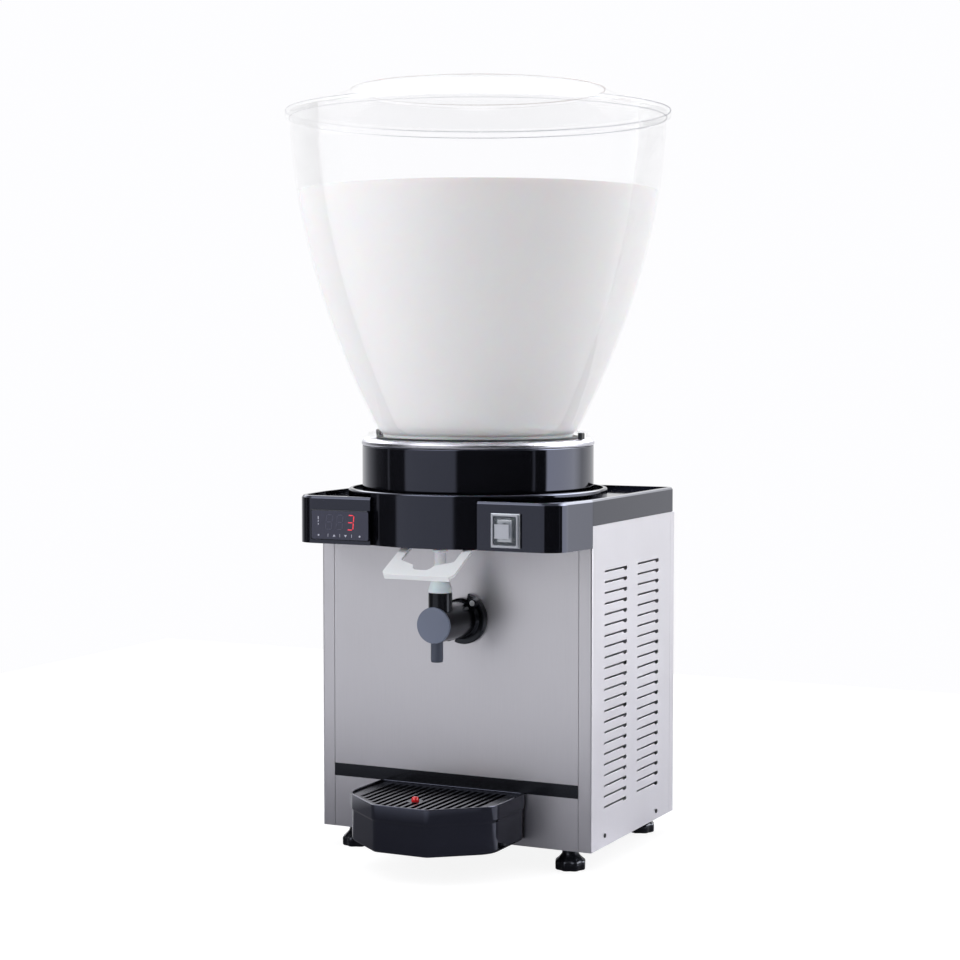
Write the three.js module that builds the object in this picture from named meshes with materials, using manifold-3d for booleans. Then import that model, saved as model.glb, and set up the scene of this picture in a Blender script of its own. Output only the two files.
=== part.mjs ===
// Ayran dispenser: a steel cabinet with a cooling set, a gloss black head, a clear bowl of drink with a
// lid, a lever tap on the front panel and a drip tray. Millimetres, +Z up, the front faces -Y.
// The origin is on the standing surface, under the bowl's axis.

import * as THREE from 'three';
import { mergeVertices } from 'three/addons/utils/BufferGeometryUtils.js';
import Module from 'manifold-3d';

const wasm = await Module();
wasm.setup();

// Driving dimensions: cabinet
const cabinetWidth = 350;
const cabinetDepth = 258;
const cabinetHeight = 372;
const axisSetback = 66; // from the steel front to the bowl's axis
const footHeight = 25;
const sheet = 1.2;
const frontFlange = 16.2;
const rearFlange = 13;

// Driving dimensions: head, collar and bowl seat
const headOverhang = 76; // from the steel front to the head's front blocks
const headSkirtDrop = 25; // below the top of the side panels, in front only
const headRise = 30;
const headWall = 3;
const wellRadius = 153;
const wellRise = 36;
const collarRadius = 136.8;
const collarTopRise = 86; // above the side panels
const collarWall = 3;
const seatRingHeight = 8;
const seatRingBore = 121.3;

// Driving dimensions: bowl, drink and lid
const bowlFootRadius = 130;
const bowlBore = 112;
const bowlWaist = 115;
const bowlTopRadius = 221.5;
const bowlHeight = 378;
const bowlWall = 4;
const bowlFlange = 5;
const bowlFlare = 1.88; // exponent of the bowl's side curve
const drinkDepth = 284.5;
const lidOverhang = 4.5; // past the bowl's rim
const lidRise = 28;
const lidShoulder = 76; // from the lid's edge in to its raised disc
const lidWall = 3;

// Driving dimensions: tap and lever
const tapX = 16;
const tapAxisDrop = 112; // below the side panels' top
const tapReach = 79.5; // from the steel front to the face of the spout cap
const barrelRadius = 21;
const tapFlangeRadius = 30;
const chimneyRadius = 13.5;
const chimneyReach = 64;
const chimneyRise = 36;
const stemRadius = 6.85;
const nozzleRadius = 7;
const nozzleDrop = 42;
const leverWidth = 84;
const leverReach = 101;
const leverSlope = THREE.MathUtils.degToRad(26.9);
const leverPivotReach = 32;
const leverPivotDrop = 6.4;
const leverThickness = 3.4;

// Driving dimensions: drip tray
const trayWidth = 184;
const trayDepth = 134;
const trayFrontWidth = 72;
const traySideDepth = 80;
const trayHeight = 55;
const trayBottomRise = 7.5; // above the cabinet's bottom edge
const trayWall = 2.5;

// Fits: a still joint, a running joint and the overrun of a cutter past a face
const fit = 0.3;
const running = 0.6;
const overrun = 5;

// Levels and faces that the pieces share
const frontY = -axisSetback;
const rearY = frontY + cabinetDepth;
const sideX = cabinetWidth / 2;
const bottomZ = footHeight;
const sideTopZ = bottomZ + cabinetHeight;
const skirtZ = sideTopZ - headSkirtDrop;
const blockY = frontY - headOverhang;
const headTopZ = sideTopZ + headRise;
const collarTopZ = sideTopZ + collarTopRise;
const seatTopZ = collarTopZ + fit + seatRingHeight;
const tapZ = sideTopZ - tapAxisDrop;
const chimneyY = frontY - chimneyReach;
const chimneyTopZ = tapZ + chimneyRise;
const insideX = sideX - sheet - fit;
const insideFrontY = frontY + sheet + fit;
const insideRearY = rearY - sheet - fit;

// Facets of a round, by its size
const wideSides = 36;
const midSides = 24;
const smallSides = 14;
const tinySides = 8;

const looks = {
  steel: { color: 0xb9b9c2, roughness: 0.38, metalness: 1 },
  zinc: { color: 0x9c9fa3, roughness: 0.5, metalness: 0.9 },
  stainless: { color: 0xc8cbd0, roughness: 0.25, metalness: 1 },
  satinRing: { color: 0xc4c4cc, roughness: 0.3, metalness: 1 },
  glossBlack: { color: 0x0b0c10, roughness: 0.12, metalness: 0 },
  matteBlack: { color: 0x17181b, roughness: 0.5, metalness: 0 },
  clear: { color: 0xe9edf2, roughness: 0.05, metalness: 0, transparent: true, opacity: 0.35 },
  milkWhite: { color: 0xf1f0ef, roughness: 0.55, metalness: 0 },
  whitePlastic: { color: 0xe9eef2, roughness: 0.3, metalness: 0 },
  slate: { color: 0x676e82, roughness: 0.45, metalness: 0 },
  silicone: { color: 0xd5d5d2, roughness: 0.4, metalness: 0, transparent: true, opacity: 0.75 },
  foam: { color: 0xd9c9a0, roughness: 0.9, metalness: 0 },
  copper: { color: 0xb5714a, roughness: 0.35, metalness: 1 },
  darkWindow: { color: 0x2b3140, roughness: 0.1, metalness: 0 },
  chrome: { color: 0xd9dde2, roughness: 0.12, metalness: 1 },
  red: { color: 0xd8232a, roughness: 0.3, metalness: 0 },
  rubber: { color: 0x2a2a2c, roughness: 0.8, metalness: 0 },
  fin: { color: 0xa9adb2, roughness: 0.45, metalness: 0.9 },
};

const dispenser = new THREE.Group();

function part(name, geometry, look) {
  const mesh = new THREE.Mesh(geometry, new THREE.MeshStandardMaterial({ ...looks[look], flatShading: true }));
  mesh.name = name;
  dispenser.add(mesh);
  return mesh;
}

// Solids
function toManifold(geometry) {
  const bare = geometry.clone();
  bare.deleteAttribute('normal');
  bare.deleteAttribute('uv');
  const merged = mergeVertices(bare, 1e-4);
  const corners = merged.index.array;
  const kept = [];
  for (let i = 0; i < corners.length; i += 3) {
    const [a, b, c] = [corners[i], corners[i + 1], corners[i + 2]];
    if (a !== b && b !== c && c !== a) kept.push(a, b, c);
  }
  return new wasm.Manifold(new wasm.Mesh({
    numProp: 3,
    vertProperties: new Float32Array(merged.attributes.position.array),
    triVerts: new Uint32Array(kept),
  }));
}

function toGeometry(manifold) {
  const mesh = manifold.getMesh();
  const geometry = new THREE.BufferGeometry();
  geometry.setAttribute('position', new THREE.BufferAttribute(new Float32Array(mesh.vertProperties), 3));
  geometry.setIndex(new THREE.BufferAttribute(new Uint32Array(mesh.triVerts), 1));
  return geometry;
}

function join(first, ...others) {
  return toGeometry(others.reduce((solid, other) => solid.add(toManifold(other)), toManifold(first)));
}

function cut(first, ...tools) {
  return toGeometry(tools.reduce((solid, tool) => solid.subtract(toManifold(tool)), toManifold(first)));
}

function overlap(first, second) {
  return toGeometry(toManifold(first).intersect(toManifold(second)));
}

function block(x0, x1, y0, y1, z0, z1) {
  const geometry = new THREE.BoxGeometry(Math.abs(x1 - x0), Math.abs(y1 - y0), Math.abs(z1 - z0));
  return geometry.translate((x0 + x1) / 2, (y0 + y1) / 2, (z0 + z1) / 2);
}

function post(radius, z0, z1, x, y, sides) {
  const geometry = new THREE.CylinderGeometry(radius, radius, z1 - z0, sides);
  return geometry.rotateX(Math.PI / 2).translate(x, y, (z0 + z1) / 2);
}

function rodAlongY(radius, y0, y1, x, z, sides) {
  const geometry = new THREE.CylinderGeometry(radius, radius, Math.abs(y1 - y0), sides);
  return geometry.translate(x, (y0 + y1) / 2, z);
}

function rodAlongX(radius, x0, x1, y, z, sides) {
  const geometry = new THREE.CylinderGeometry(radius, radius, Math.abs(x1 - x0), sides);
  return geometry.rotateZ(Math.PI / 2).translate((x0 + x1) / 2, y, z);
}

// The radius that a faceted round keeps clear at the middle of its flats
function flatRadius(radius, sides) {
  return radius * Math.cos(Math.PI / sides);
}

// A body turned about the vertical axis from a profile of [radius, height] points
function turned(profile, sides, x = 0, y = 0) {
  const area = profile.reduce((sum, [r, z], i) => {
    const [nextR, nextZ] = profile[(i + 1) % profile.length];
    return sum + r * nextZ - nextR * z;
  }, 0);
  const ordered = area > 0 ? [...profile] : [...profile].reverse();
  const axial = ordered.map(([r], i) => r === 0 && ordered[(i + 1) % ordered.length][0] === 0);
  const seam = axial.indexOf(true);
  const points = seam < 0
    ? [...ordered, ordered[0]]
    : [...ordered.slice(seam + 1), ...ordered.slice(0, seam + 1)];
  const geometry = new THREE.LatheGeometry(points.map(([r, z]) => new THREE.Vector2(r, z)), sides);
  return geometry.rotateX(Math.PI / 2).translate(x, y, 0);
}

function polygon(points) {
  return new THREE.Shape(points.map(([a, b]) => new THREE.Vector2(a, b)));
}

function polygonHole(points) {
  return new THREE.Path(points.map(([a, b]) => new THREE.Vector2(a, b)));
}

function rectangle(a0, a1, b0, b1) {
  return [[a0, b0], [a1, b0], [a1, b1], [a0, b1]];
}

function roundHole(a, b, radius) {
  const path = new THREE.Path();
  path.absarc(a, b, radius, 0, Math.PI * 2, true);
  return path;
}

function extruded(shape, length, options = {}) {
  return new THREE.ExtrudeGeometry(shape, { depth: length, bevelEnabled: false, curveSegments: 5, ...options });
}

// A shape drawn in plan, standing from z0 to z1
function standing(shape, z0, z1, options) {
  return extruded(shape, z1 - z0, options).translate(0, 0, z0);
}

// A shape drawn in (x, z) as seen from the front, from the face at yFront back by its thickness
function facing(shape, yFront, thickness, options) {
  const geometry = extruded(shape, thickness, options);
  const axes = new THREE.Matrix4().makeBasis(
    new THREE.Vector3(1, 0, 0), new THREE.Vector3(0, 0, 1), new THREE.Vector3(0, -1, 0));
  return geometry.applyMatrix4(axes).translate(0, yFront + thickness, 0);
}

// A shape drawn in (y, z) as seen from the right, from x0 to x1
function sideways(shape, x0, x1, options) {
  const geometry = extruded(shape, x1 - x0, options);
  const axes = new THREE.Matrix4().makeBasis(
    new THREE.Vector3(0, 1, 0), new THREE.Vector3(0, 0, 1), new THREE.Vector3(1, 0, 0));
  return geometry.applyMatrix4(axes).translate(x0, 0, 0);
}

// Corners of a closed outline rounded to a radius, as arcs of a few steps
function rounded(points, radius, steps = 4) {
  const result = [];
  points.forEach((corner, i) => {
    const here = new THREE.Vector2(...corner);
    const before = new THREE.Vector2(...points[(i + points.length - 1) % points.length]).sub(here);
    const after = new THREE.Vector2(...points[(i + 1) % points.length]).sub(here);
    const half = Math.acos(before.dot(after) / before.length() / after.length()) / 2;
    const limit = Math.min(before.length(), after.length()) / 2;
    const size = Math.min(Array.isArray(radius) ? radius[i] : radius, limit * Math.tan(half));
    if (size <= 0) {
      result.push(corner);
      return;
    }
    const start = here.clone().addScaledVector(before.clone().normalize(), size / Math.tan(half));
    const end = here.clone().addScaledVector(after.clone().normalize(), size / Math.tan(half));
    for (let k = 0; k <= steps; k += 1) {
      const t = k / steps;
      const point = start.clone().multiplyScalar((1 - t) ** 2)
        .addScaledVector(here, 2 * t * (1 - t)).addScaledVector(end, t ** 2);
      result.push([point.x, point.y]);
    }
  });
  return result;
}

function mirroredX(points) {
  return points.map(([x, y]) => [-x, y]).reverse();
}

// Tube along a route, solid or with a bore
function tube(path, radius, bore, steps, sides) {
  const ring = (size, turn) => Array.from({ length: sides }, (_, i) => {
    const angle = turn * i / sides * Math.PI * 2;
    return [size * Math.cos(angle), size * Math.sin(angle)];
  });
  const shape = polygon(ring(radius, 1));
  if (bore > 0) shape.holes.push(polygonHole(ring(bore, -1)));
  return new THREE.ExtrudeGeometry(shape, { steps, extrudePath: path, bevelEnabled: false });
}

function route(points) {
  return new THREE.CatmullRomCurve3(points.map((point) => new THREE.Vector3(...point)), false, 'centripetal');
}

// Cabinet: pressed side panels with louvres, front panel between their flanges, rear panel, base and top
const louvreRows = 23;
const louvreGap = 33;
const louvreFrontInset = 37;
const louvreRearInset = 52;
const louvreLength = (cabinetDepth - louvreFrontInset - louvreGap - louvreRearInset) / 2;
const louvreFirstRise = 42;
const louvreTopInset = 58;
const louvrePitch = (cabinetHeight - louvreFirstRise - louvreTopInset) / (louvreRows - 1);
const louvreThin = 2.2;
const louvreThick = 4.6;
const footInset = 35;
const footRearInset = 21;
const studRadius = 4;

const louvrePlaces = [0, 1].flatMap((column) => Array.from({ length: louvreRows }, (_, row) => [
  frontY + louvreFrontInset + column * (louvreLength + louvreGap), bottomZ + louvreFirstRise + row * louvrePitch]));

function sidePanel(side) {
  const plateRearY = rearY - rearFlange - fit;
  const plate = polygon([
    [frontY, bottomZ], [plateRearY, bottomZ], [plateRearY, sideTopZ], [frontY, sideTopZ]]);
  const outerX = side * sideX;
  const innerX = side * (sideX - sheet);
  const cutters = louvrePlaces.map(([y, z]) => sideways(polygon([
    [y, z + louvreThick], [y, z + louvreThick - louvreThin],
    [y + louvreLength - louvreThick, z + louvreThick - louvreThin], [y + louvreLength, z],
    [y + louvreLength, z + louvreThick]]),
  Math.min(outerX, innerX) - overrun, Math.max(outerX, innerX) + overrun));
  const skin = cut(sideways(plate, Math.min(outerX, innerX), Math.max(outerX, innerX)), ...cutters);
  const flange = block(side * (sideX - frontFlange), outerX, frontY, frontY + sheet, bottomZ, sideTopZ);
  return join(skin, flange);
}

part('right_side_panel', sidePanel(1), 'steel');
part('left_side_panel', sidePanel(-1), 'steel');

const seamX = sideX - frontFlange - fit;
const screwOffset = (barrelRadius + tapFlangeRadius) / 2;
const screwAngles = [0.92, -2.22];
const screwRadius = 1.9;
const screwPlaces = screwAngles.map((angle) => [
  tapX + screwOffset * Math.cos(angle), tapZ + screwOffset * Math.sin(angle)]);

const frontPlate = polygon(rectangle(-seamX, seamX, bottomZ, sideTopZ));
screwPlaces.forEach(([x, z]) => frontPlate.holes.push(roundHole(x, z, screwRadius + fit)));
part('front_panel', facing(frontPlate, frontY, sheet), 'steel');

const stripRise = 61.2;
const stripHeight = 15.3;
const stripProud = 0.8;
part('trim_strip', block(-seamX, seamX, frontY - fit - stripProud, frontY - fit,
  bottomZ + stripRise, bottomZ + stripRise + stripHeight), 'glossBlack');

// Rear panel with vent slots and the opening for the power inlet
const inletWidth = 48;
const inletHeight = 28;
const inletSideShare = 0.6;
const inletRiseShare = 0.16;
const inletX = -sideX * inletSideShare;
const inletZ = bottomZ + cabinetHeight * inletRiseShare;
const ventSlotHeight = 5;
const ventPitch = 13;
const ventRows = 14;
const ventHalfWidth = 62;
const ventGap = 16;
const ventFirstRise = 120;

function rearPanel() {
  const skin = block(-sideX, sideX, rearY - sheet, rearY, bottomZ, sideTopZ);
  const flanges = [-1, 1].map((side) => block(
    side * sideX, side * (sideX - sheet), rearY - rearFlange, rearY - sheet / 2, bottomZ, sideTopZ));
  const through = (x0, x1, z0, z1) => block(x0, x1, rearY - sheet - overrun, rearY + overrun, z0, z1);
  const slots = [];
  for (let row = 0; row < ventRows; row += 1) {
    const z = bottomZ + ventFirstRise + row * ventPitch;
    [-1, 1].forEach((side) => slots.push(through(
      side * ventGap / 2, side * (ventGap / 2 + ventHalfWidth), z, z + ventSlotHeight)));
  }
  const inletHole = through(inletX - inletWidth / 2 - fit, inletX + inletWidth / 2 + fit,
    inletZ - inletHeight / 2 - fit, inletZ + inletHeight / 2 + fit);
  return cut(join(skin, ...flanges), inletHole, ...slots);
}

part('rear_panel', rearPanel(), 'steel');

// Base pan and top plate
const panRim = 15;
const panSheet = 1.5;
const footPlaces = [-1, 1].flatMap((side) => [
  [side * (sideX - footInset), frontY + footRearInset],
  [side * (sideX - footInset), rearY - footRearInset]]);

function basePan() {
  const outer = block(-insideX, insideX, insideFrontY, insideRearY, bottomZ, bottomZ + panRim);
  const hollow = block(-insideX + panSheet, insideX - panSheet, insideFrontY + panSheet,
    insideRearY - panSheet, bottomZ + panSheet, bottomZ + panRim + overrun);
  const holes = footPlaces.map(([x, y]) => post(
    studRadius + running, bottomZ - overrun, bottomZ + panRim, x, y, tinySides));
  return cut(outer, hollow, ...holes);
}

part('base_pan', basePan(), 'zinc');

const motorRadius = 34;
const gearboxRadius = 42;
const motorHole = gearboxRadius + running;
const riserRadius = 4;
const riserX = 78;
const riserY = 62;
const topPlateSheet = 2;

function topPlate() {
  const plate = polygon(rectangle(-insideX, insideX, insideFrontY, insideRearY));
  plate.holes.push(roundHole(0, 0, motorHole));
  [-1, 1].forEach((side) => plate.holes.push(roundHole(side * riserX, riserY, riserRadius + fit)));
  return standing(plate, sideTopZ - topPlateSheet, sideTopZ, { curveSegments: tinySides });
}

part('top_plate', topPlate(), 'zinc');

// Head housing: one gloss shell with a skirt in front of the steel, a tray top and a round well
const headInset = 9; // the sides' taper from the steel width to the front corners
const headCorner = 20;
const headSideProud = 1;
const headRearCorner = 10;
const headLip = 6;
const headBlockEnd = 67; // where each front block ends beside the round front
const headFloorDrop = 11;
const wellLip = 5;
const wellWall = 2; // thinner than the blocks, to clear the lever
const wellFloorRise = 23;
const wellFloor = 3.4;
const wellFloorBore = 126;
const gutterFloorZ = sideTopZ + wellFloorRise + wellFloor;
const controllerInset = 68;
const controllerX = controllerInset - sideX;
const controllerRise = -6;
const controllerWidth = 75;
const controllerHeight = 35;
const bezelRim = 2;
const switchInset = 70.8;
const switchX = sideX - switchInset;
const switchRise = -1.8;
const switchWidth = 35.4;
const switchHeight = 38.6;
const switchBodyWidth = 24;
const switchBodyHeight = 30;

function headHousing() {
  const ring = (inset) => {
    const side = sideX + headSideProud - inset;
    const frontSide = sideX - headInset - inset;
    const half = [[frontSide, blockY + inset], [side, frontY], [side, rearY - inset]];
    const points = [...half, ...mirroredX(half)];
    const radii = [headCorner, headCorner, headRearCorner, headRearCorner, headCorner, headCorner]
      .map((radius) => Math.max(radius - inset, headWall / 2));
    return rounded(points, radii);
  };
  const fullBody = (inset, z0, z1) => standing(polygon(ring(inset)), z0, z1);
  const front = (y, z0, z1) => block(-cabinetWidth, cabinetWidth, blockY - cabinetDepth, y, z0, z1);
  const bodyTop = standing(polygon(ring(headWall)), skirtZ, headTopZ - headWall, {
    bevelEnabled: true, bevelThickness: headWall, bevelSize: headWall, bevelSegments: 2 });
  const wellFront = overlap(post(wellRadius, skirtZ, sideTopZ + wellRise, 0, 0, wideSides),
    front(frontY - fit, skirtZ - overrun, headTopZ + wellRise));
  const wellRing = post(wellRadius, sideTopZ, sideTopZ + wellRise, 0, 0, wideSides);
  const outer = overlap(join(bodyTop, wellFront, wellRing),
    block(-cabinetWidth, cabinetWidth, -cabinetDepth, cabinetDepth * 2, skirtZ, headTopZ + wellRise));
  const overSteel = block(-cabinetWidth, cabinetWidth, frontY - fit, cabinetDepth * 2,
    skirtZ - overrun, sideTopZ + fit);
  const betweenBlocks = (halfWidth) => block(-halfWidth, halfWidth, blockY - overrun, blockY + headWall * 3,
    skirtZ - overrun, headTopZ + overrun);
  const roundStep = cut(betweenBlocks(headBlockEnd),
    post(wellRadius, skirtZ - overrun, headTopZ + wellRise, 0, 0, wideSides));
  const deckTopZ = headTopZ - headFloorDrop;
  const underside = join(
    cut(fullBody(headWall, skirtZ - overrun, deckTopZ - headWall), betweenBlocks(headBlockEnd + headWall)),
    post(wellRadius - wellWall, skirtZ - overrun, deckTopZ - headWall, 0, 0, wideSides));
  const trayTop = cut(fullBody(headLip, deckTopZ, headTopZ + overrun),
    post(wellRadius, deckTopZ - overrun, headTopZ + wellRise, 0, 0, wideSides));
  const gutter = post(wellRadius - wellLip, gutterFloorZ, headTopZ + wellRise, 0, 0, wideSides);
  const throat = post(wellFloorBore, skirtZ - overrun, headTopZ + wellRise, 0, 0, wideSides);
  const controllerCut = block(
    controllerX - controllerWidth / 2 + bezelRim - fit, controllerX + controllerWidth / 2 - bezelRim + fit,
    blockY - overrun, blockY + headWall + overrun,
    sideTopZ + controllerRise - controllerHeight / 2 + bezelRim - fit,
    sideTopZ + controllerRise + controllerHeight / 2 - bezelRim + fit);
  const switchCut = block(
    switchX - switchBodyWidth / 2 - fit, switchX + switchBodyWidth / 2 + fit,
    blockY - overrun, blockY + headWall + overrun,
    sideTopZ + switchRise - switchBodyHeight / 2 - fit, sideTopZ + switchRise + switchBodyHeight / 2 + fit);
  return cut(outer, roundStep, overSteel, underside, trayTop, gutter, throat, controllerCut, switchCut);
}

part('head_housing', headHousing(), 'glossBlack');

// Collar with its floor, foam, satin seat ring and the steel deck with the cooling drum
const collarFloorRise = 39;
const collarFloor = 3;
const collarFloorZ = sideTopZ + collarFloorRise;
const shaftRadius = 5;
const shaftBore = 14;
const outletRadius = 104;
const outletY = -outletRadius;
const hoseRadius = stemRadius;
const hoseWall = 2;
const hoseBore = hoseRadius - hoseWall;
const barbRadius = flatRadius(hoseBore, tinySides) - fit;
const barbWall = 1.2;
const spigotLength = 34;
const hosePassage = hoseRadius + running * 2;
const deckSheet = 2.5;
const deckDrop = 2.3; // below the seat ring's top
const deckTopZ = seatTopZ - deckDrop;
const deckRadius = flatRadius(seatRingBore, wideSides) - fit;
const foamRadius = collarRadius - collarWall - fit;

function collar() {
  const body = turned([
    [collarRadius, gutterFloorZ + fit], [collarRadius, collarTopZ],
    [collarRadius - collarWall, collarTopZ],
    [collarRadius - collarWall, collarFloorZ + collarFloor], [shaftBore, collarFloorZ + collarFloor],
    [shaftBore, collarFloorZ], [collarRadius - collarWall * 2, collarFloorZ],
    [collarRadius - collarWall, collarFloorZ - collarWall], [collarRadius - collarWall, gutterFloorZ + fit],
  ], wideSides);
  const risers = [-1, 1].map((side) => post(
    riserRadius + fit, collarFloorZ - overrun, collarFloorZ + collarFloor + overrun,
    side * riserX, riserY, tinySides));
  return cut(body, post(hosePassage, collarFloorZ - overrun, collarFloorZ + collarFloor + overrun,
    0, outletY, smallSides), ...risers);
}

part('collar', collar(), 'glossBlack');

const foamBottomZ = collarFloorZ + collarFloor + fit;
const foamTopZ = deckTopZ - deckSheet - fit;
const coilOuter = 55;
const coilThickness = 6;

function foamBlock() {
  const bores = [-1, 1].map((side) => post(
    riserRadius + fit, foamBottomZ - overrun, foamTopZ + overrun, side * riserX, riserY, tinySides));
  const neckRadius = seatRingBore - fit;
  const body = turned([
    [shaftBore, foamBottomZ], [foamRadius, foamBottomZ], [foamRadius, collarTopZ], [neckRadius, collarTopZ],
    [neckRadius, foamTopZ], [shaftBore, foamTopZ]], wideSides);
  return cut(body,
    post(hosePassage, foamBottomZ - overrun, foamTopZ + overrun, 0, outletY, smallSides), ...bores);
}

part('insulation_block', foamBlock(), 'foam');

const seatRingEdge = 1.5;
const seatRingProud = 0.7;
const seatOuter = collarRadius + seatRingProud;
const seatBottomZ = collarTopZ + fit;
part('seat_ring', turned([
  [seatRingBore, seatBottomZ], [seatOuter - seatRingEdge, seatBottomZ], [seatOuter, seatBottomZ + seatRingEdge],
  [seatOuter, seatTopZ - seatRingEdge * 2], [seatOuter - seatRingEdge, seatTopZ - seatRingEdge / 2],
  [seatOuter - seatRingEdge * 3, seatTopZ], [seatRingBore, seatTopZ],
], wideSides), 'satinRing');

const gasketWidth = 8;
const gasketHeight = 4;
const gasketInner = bowlBore + fit;
part('bowl_gasket', turned([
  [gasketInner, deckTopZ + fit], [gasketInner + gasketWidth, deckTopZ + fit],
  [gasketInner + gasketWidth, deckTopZ + fit + gasketHeight], [gasketInner, deckTopZ + fit + gasketHeight],
], wideSides), 'rubber');

const drumRadius = 58;
const drumHeight = 151;
const drumWall = 2;
const sealRadius = 11;
const drumTopZ = deckTopZ + drumHeight;

function coolingDrum() {
  const body = turned([
    [deckRadius, deckTopZ - deckSheet], [deckRadius, deckTopZ], [drumRadius, deckTopZ],
    [drumRadius, drumTopZ - drumWall * 2], [drumRadius - drumWall * 2, drumTopZ], [sealRadius + fit, drumTopZ],
    [sealRadius + fit, drumTopZ - drumWall], [drumRadius - drumWall * 3, drumTopZ - drumWall],
    [drumRadius - drumWall, drumTopZ - drumWall * 3], [drumRadius - drumWall, deckTopZ - deckSheet],
  ], midSides);
  return cut(body, post(barbRadius + fit, deckTopZ - deckSheet - overrun, deckTopZ + overrun,
    0, outletY, smallSides));
}

part('evaporator_drum', coolingDrum(), 'stainless');
part('evaporator_coil', turned([
  [coilOuter - coilThickness, deckTopZ], [coilOuter, deckTopZ],
  [coilOuter, drumTopZ - drumWall * 4], [coilOuter - coilThickness, drumTopZ - drumWall * 4],
], midSides), 'copper');

const sealFlange = 3;
const sealDepth = 6;
part('shaft_seal', turned([
  [shaftRadius + fit, drumTopZ - sealDepth], [sealRadius, drumTopZ - sealDepth],
  [sealRadius, drumTopZ + fit], [sealRadius + sealFlange, drumTopZ + fit],
  [sealRadius + sealFlange, drumTopZ + sealFlange], [shaftRadius + fit, drumTopZ + sealFlange],
], smallSides), 'rubber');

// Bowl stops beside the bowl's two foot lugs
const stopWidth = 9;
const stopDepth = 5;
const stopHeight = 8;
const lugLength = 12;
const lugProud = 6;
[-1, 1].forEach((side) => part(side < 0 ? 'bowl_stop_left' : 'bowl_stop_right', block(
  side * (bowlFootRadius + fit), side * (bowlFootRadius + fit + stopDepth), -stopWidth / 2, stopWidth / 2,
  seatTopZ + fit, seatTopZ + stopHeight), 'matteBlack'));

// Bowl, drink and lid
const bowlBottomZ = deckTopZ + gasketHeight + fit * 2;
const bowlWaistZ = bowlBottomZ - fit * 2;
const rimTopZ = bowlWaistZ + bowlHeight;
const rimWidth = 3;
const rimHeight = 6;
const curveSteps = 7;

function bowlRadiusAt(z) {
  const t = Math.min(Math.max((z - bowlWaistZ) / bowlHeight, 0), 1);
  return bowlWaist + (bowlTopRadius - rimWidth / 2 - bowlWaist) * (1 - (1 - t) ** bowlFlare);
}

function bowlCurve(z0, z1, inset) {
  const points = [];
  for (let step = 0; step <= curveSteps; step += 1) {
    const z = z0 + (z1 - z0) * step / curveSteps;
    points.push([bowlRadiusAt(z) - inset, z]);
  }
  return points;
}

function bowl() {
  const flangeTopZ = bowlBottomZ + bowlFlange;
  const body = turned([
    [bowlBore, bowlBottomZ], [bowlFootRadius, bowlBottomZ], [bowlFootRadius, flangeTopZ],
    ...bowlCurve(flangeTopZ, rimTopZ - rimHeight, 0),
    [bowlTopRadius, rimTopZ - rimHeight + rimWidth / 2], [bowlTopRadius, rimTopZ],
    ...bowlCurve(flangeTopZ, rimTopZ, bowlWall).reverse(), [bowlBore, flangeTopZ - bowlFlange / 2],
  ], wideSides);
  const lugs = [-1, 1].map((side) => block(
    side * (bowlFootRadius - lugProud), side * (bowlFootRadius + lugProud),
    stopWidth / 2 + fit, stopWidth / 2 + fit + lugLength, bowlBottomZ, flangeTopZ + bowlFlange / 2));
  return join(body, ...lugs);
}

part('bowl', bowl(), 'clear');

const paddleSweep = 90;
const paddleClearance = 7;
const shaftTopRise = 26;
const hubHeight = 22;
const drinkLevelZ = bowlBottomZ + bowlFlange + drinkDepth;
const hollowRadius = paddleSweep + paddleClearance;
const hollowTopZ = drumTopZ + shaftTopRise + hubHeight;

function drink() {
  const seatRadius = bowlBore - fit;
  const flangeTopZ = bowlBottomZ + bowlFlange;
  return turned([
    [0, hollowTopZ], [hollowRadius, hollowTopZ], [hollowRadius, deckTopZ + fit], [seatRadius, deckTopZ + fit],
    [seatRadius, flangeTopZ - bowlFlange / 2], ...bowlCurve(flangeTopZ + fit, drinkLevelZ, bowlWall + running),
    [0, drinkLevelZ],
  ], wideSides);
}

part('drink', drink(), 'milkWhite');

const lidSkirt = 8.6;
const lidLand = 21;
const lidRadius = bowlTopRadius + lidOverhang;
const lidDiscRadius = lidRadius - lidShoulder;
const lidSlopeStart = lidRadius - lidLand;
const lidEdge = 2;

function lid() {
  const plateZ = rimTopZ + fit;
  const topZ = plateZ + lidRise;
  return turned([
    [bowlTopRadius + running, rimTopZ - lidSkirt + lidWall], [lidRadius, rimTopZ - lidSkirt + lidWall],
    [lidRadius, plateZ + lidWall - lidEdge / 2], [lidRadius - lidEdge, plateZ + lidWall],
    [lidSlopeStart, plateZ + lidWall], [lidDiscRadius + lidEdge, topZ - lidWall],
    [lidDiscRadius, topZ], [lidDiscRadius - lidWall, topZ],
    [lidDiscRadius - lidWall - lidEdge, topZ - lidEdge], [0, topZ - lidEdge / 2],
    [0, topZ - lidEdge / 2 - lidWall], [lidDiscRadius - lidWall, topZ - lidEdge - lidWall],
    [lidSlopeStart - lidEdge, plateZ], [bowlTopRadius + running, plateZ],
  ], wideSides);
}

part('lid', lid(), 'clear');

// Stirrer: gear motor under the collar's floor, shaft through the drum, and the paddle over it
const gearboxHeight = 30;
const motorLength = 62;
const gearboxTopZ = collarFloorZ - fit;
part('gear_motor', join(
  post(gearboxRadius, gearboxTopZ - gearboxHeight, gearboxTopZ, 0, 0, midSides),
  post(motorRadius, gearboxTopZ - gearboxHeight - motorLength, gearboxTopZ - gearboxHeight + fit, 0, 0, midSides)),
'zinc');

const shaftTopZ = drumTopZ + shaftTopRise;
part('drive_shaft', post(shaftRadius, gearboxTopZ + fit, shaftTopZ, 0, 0, smallSides), 'stainless');

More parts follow.
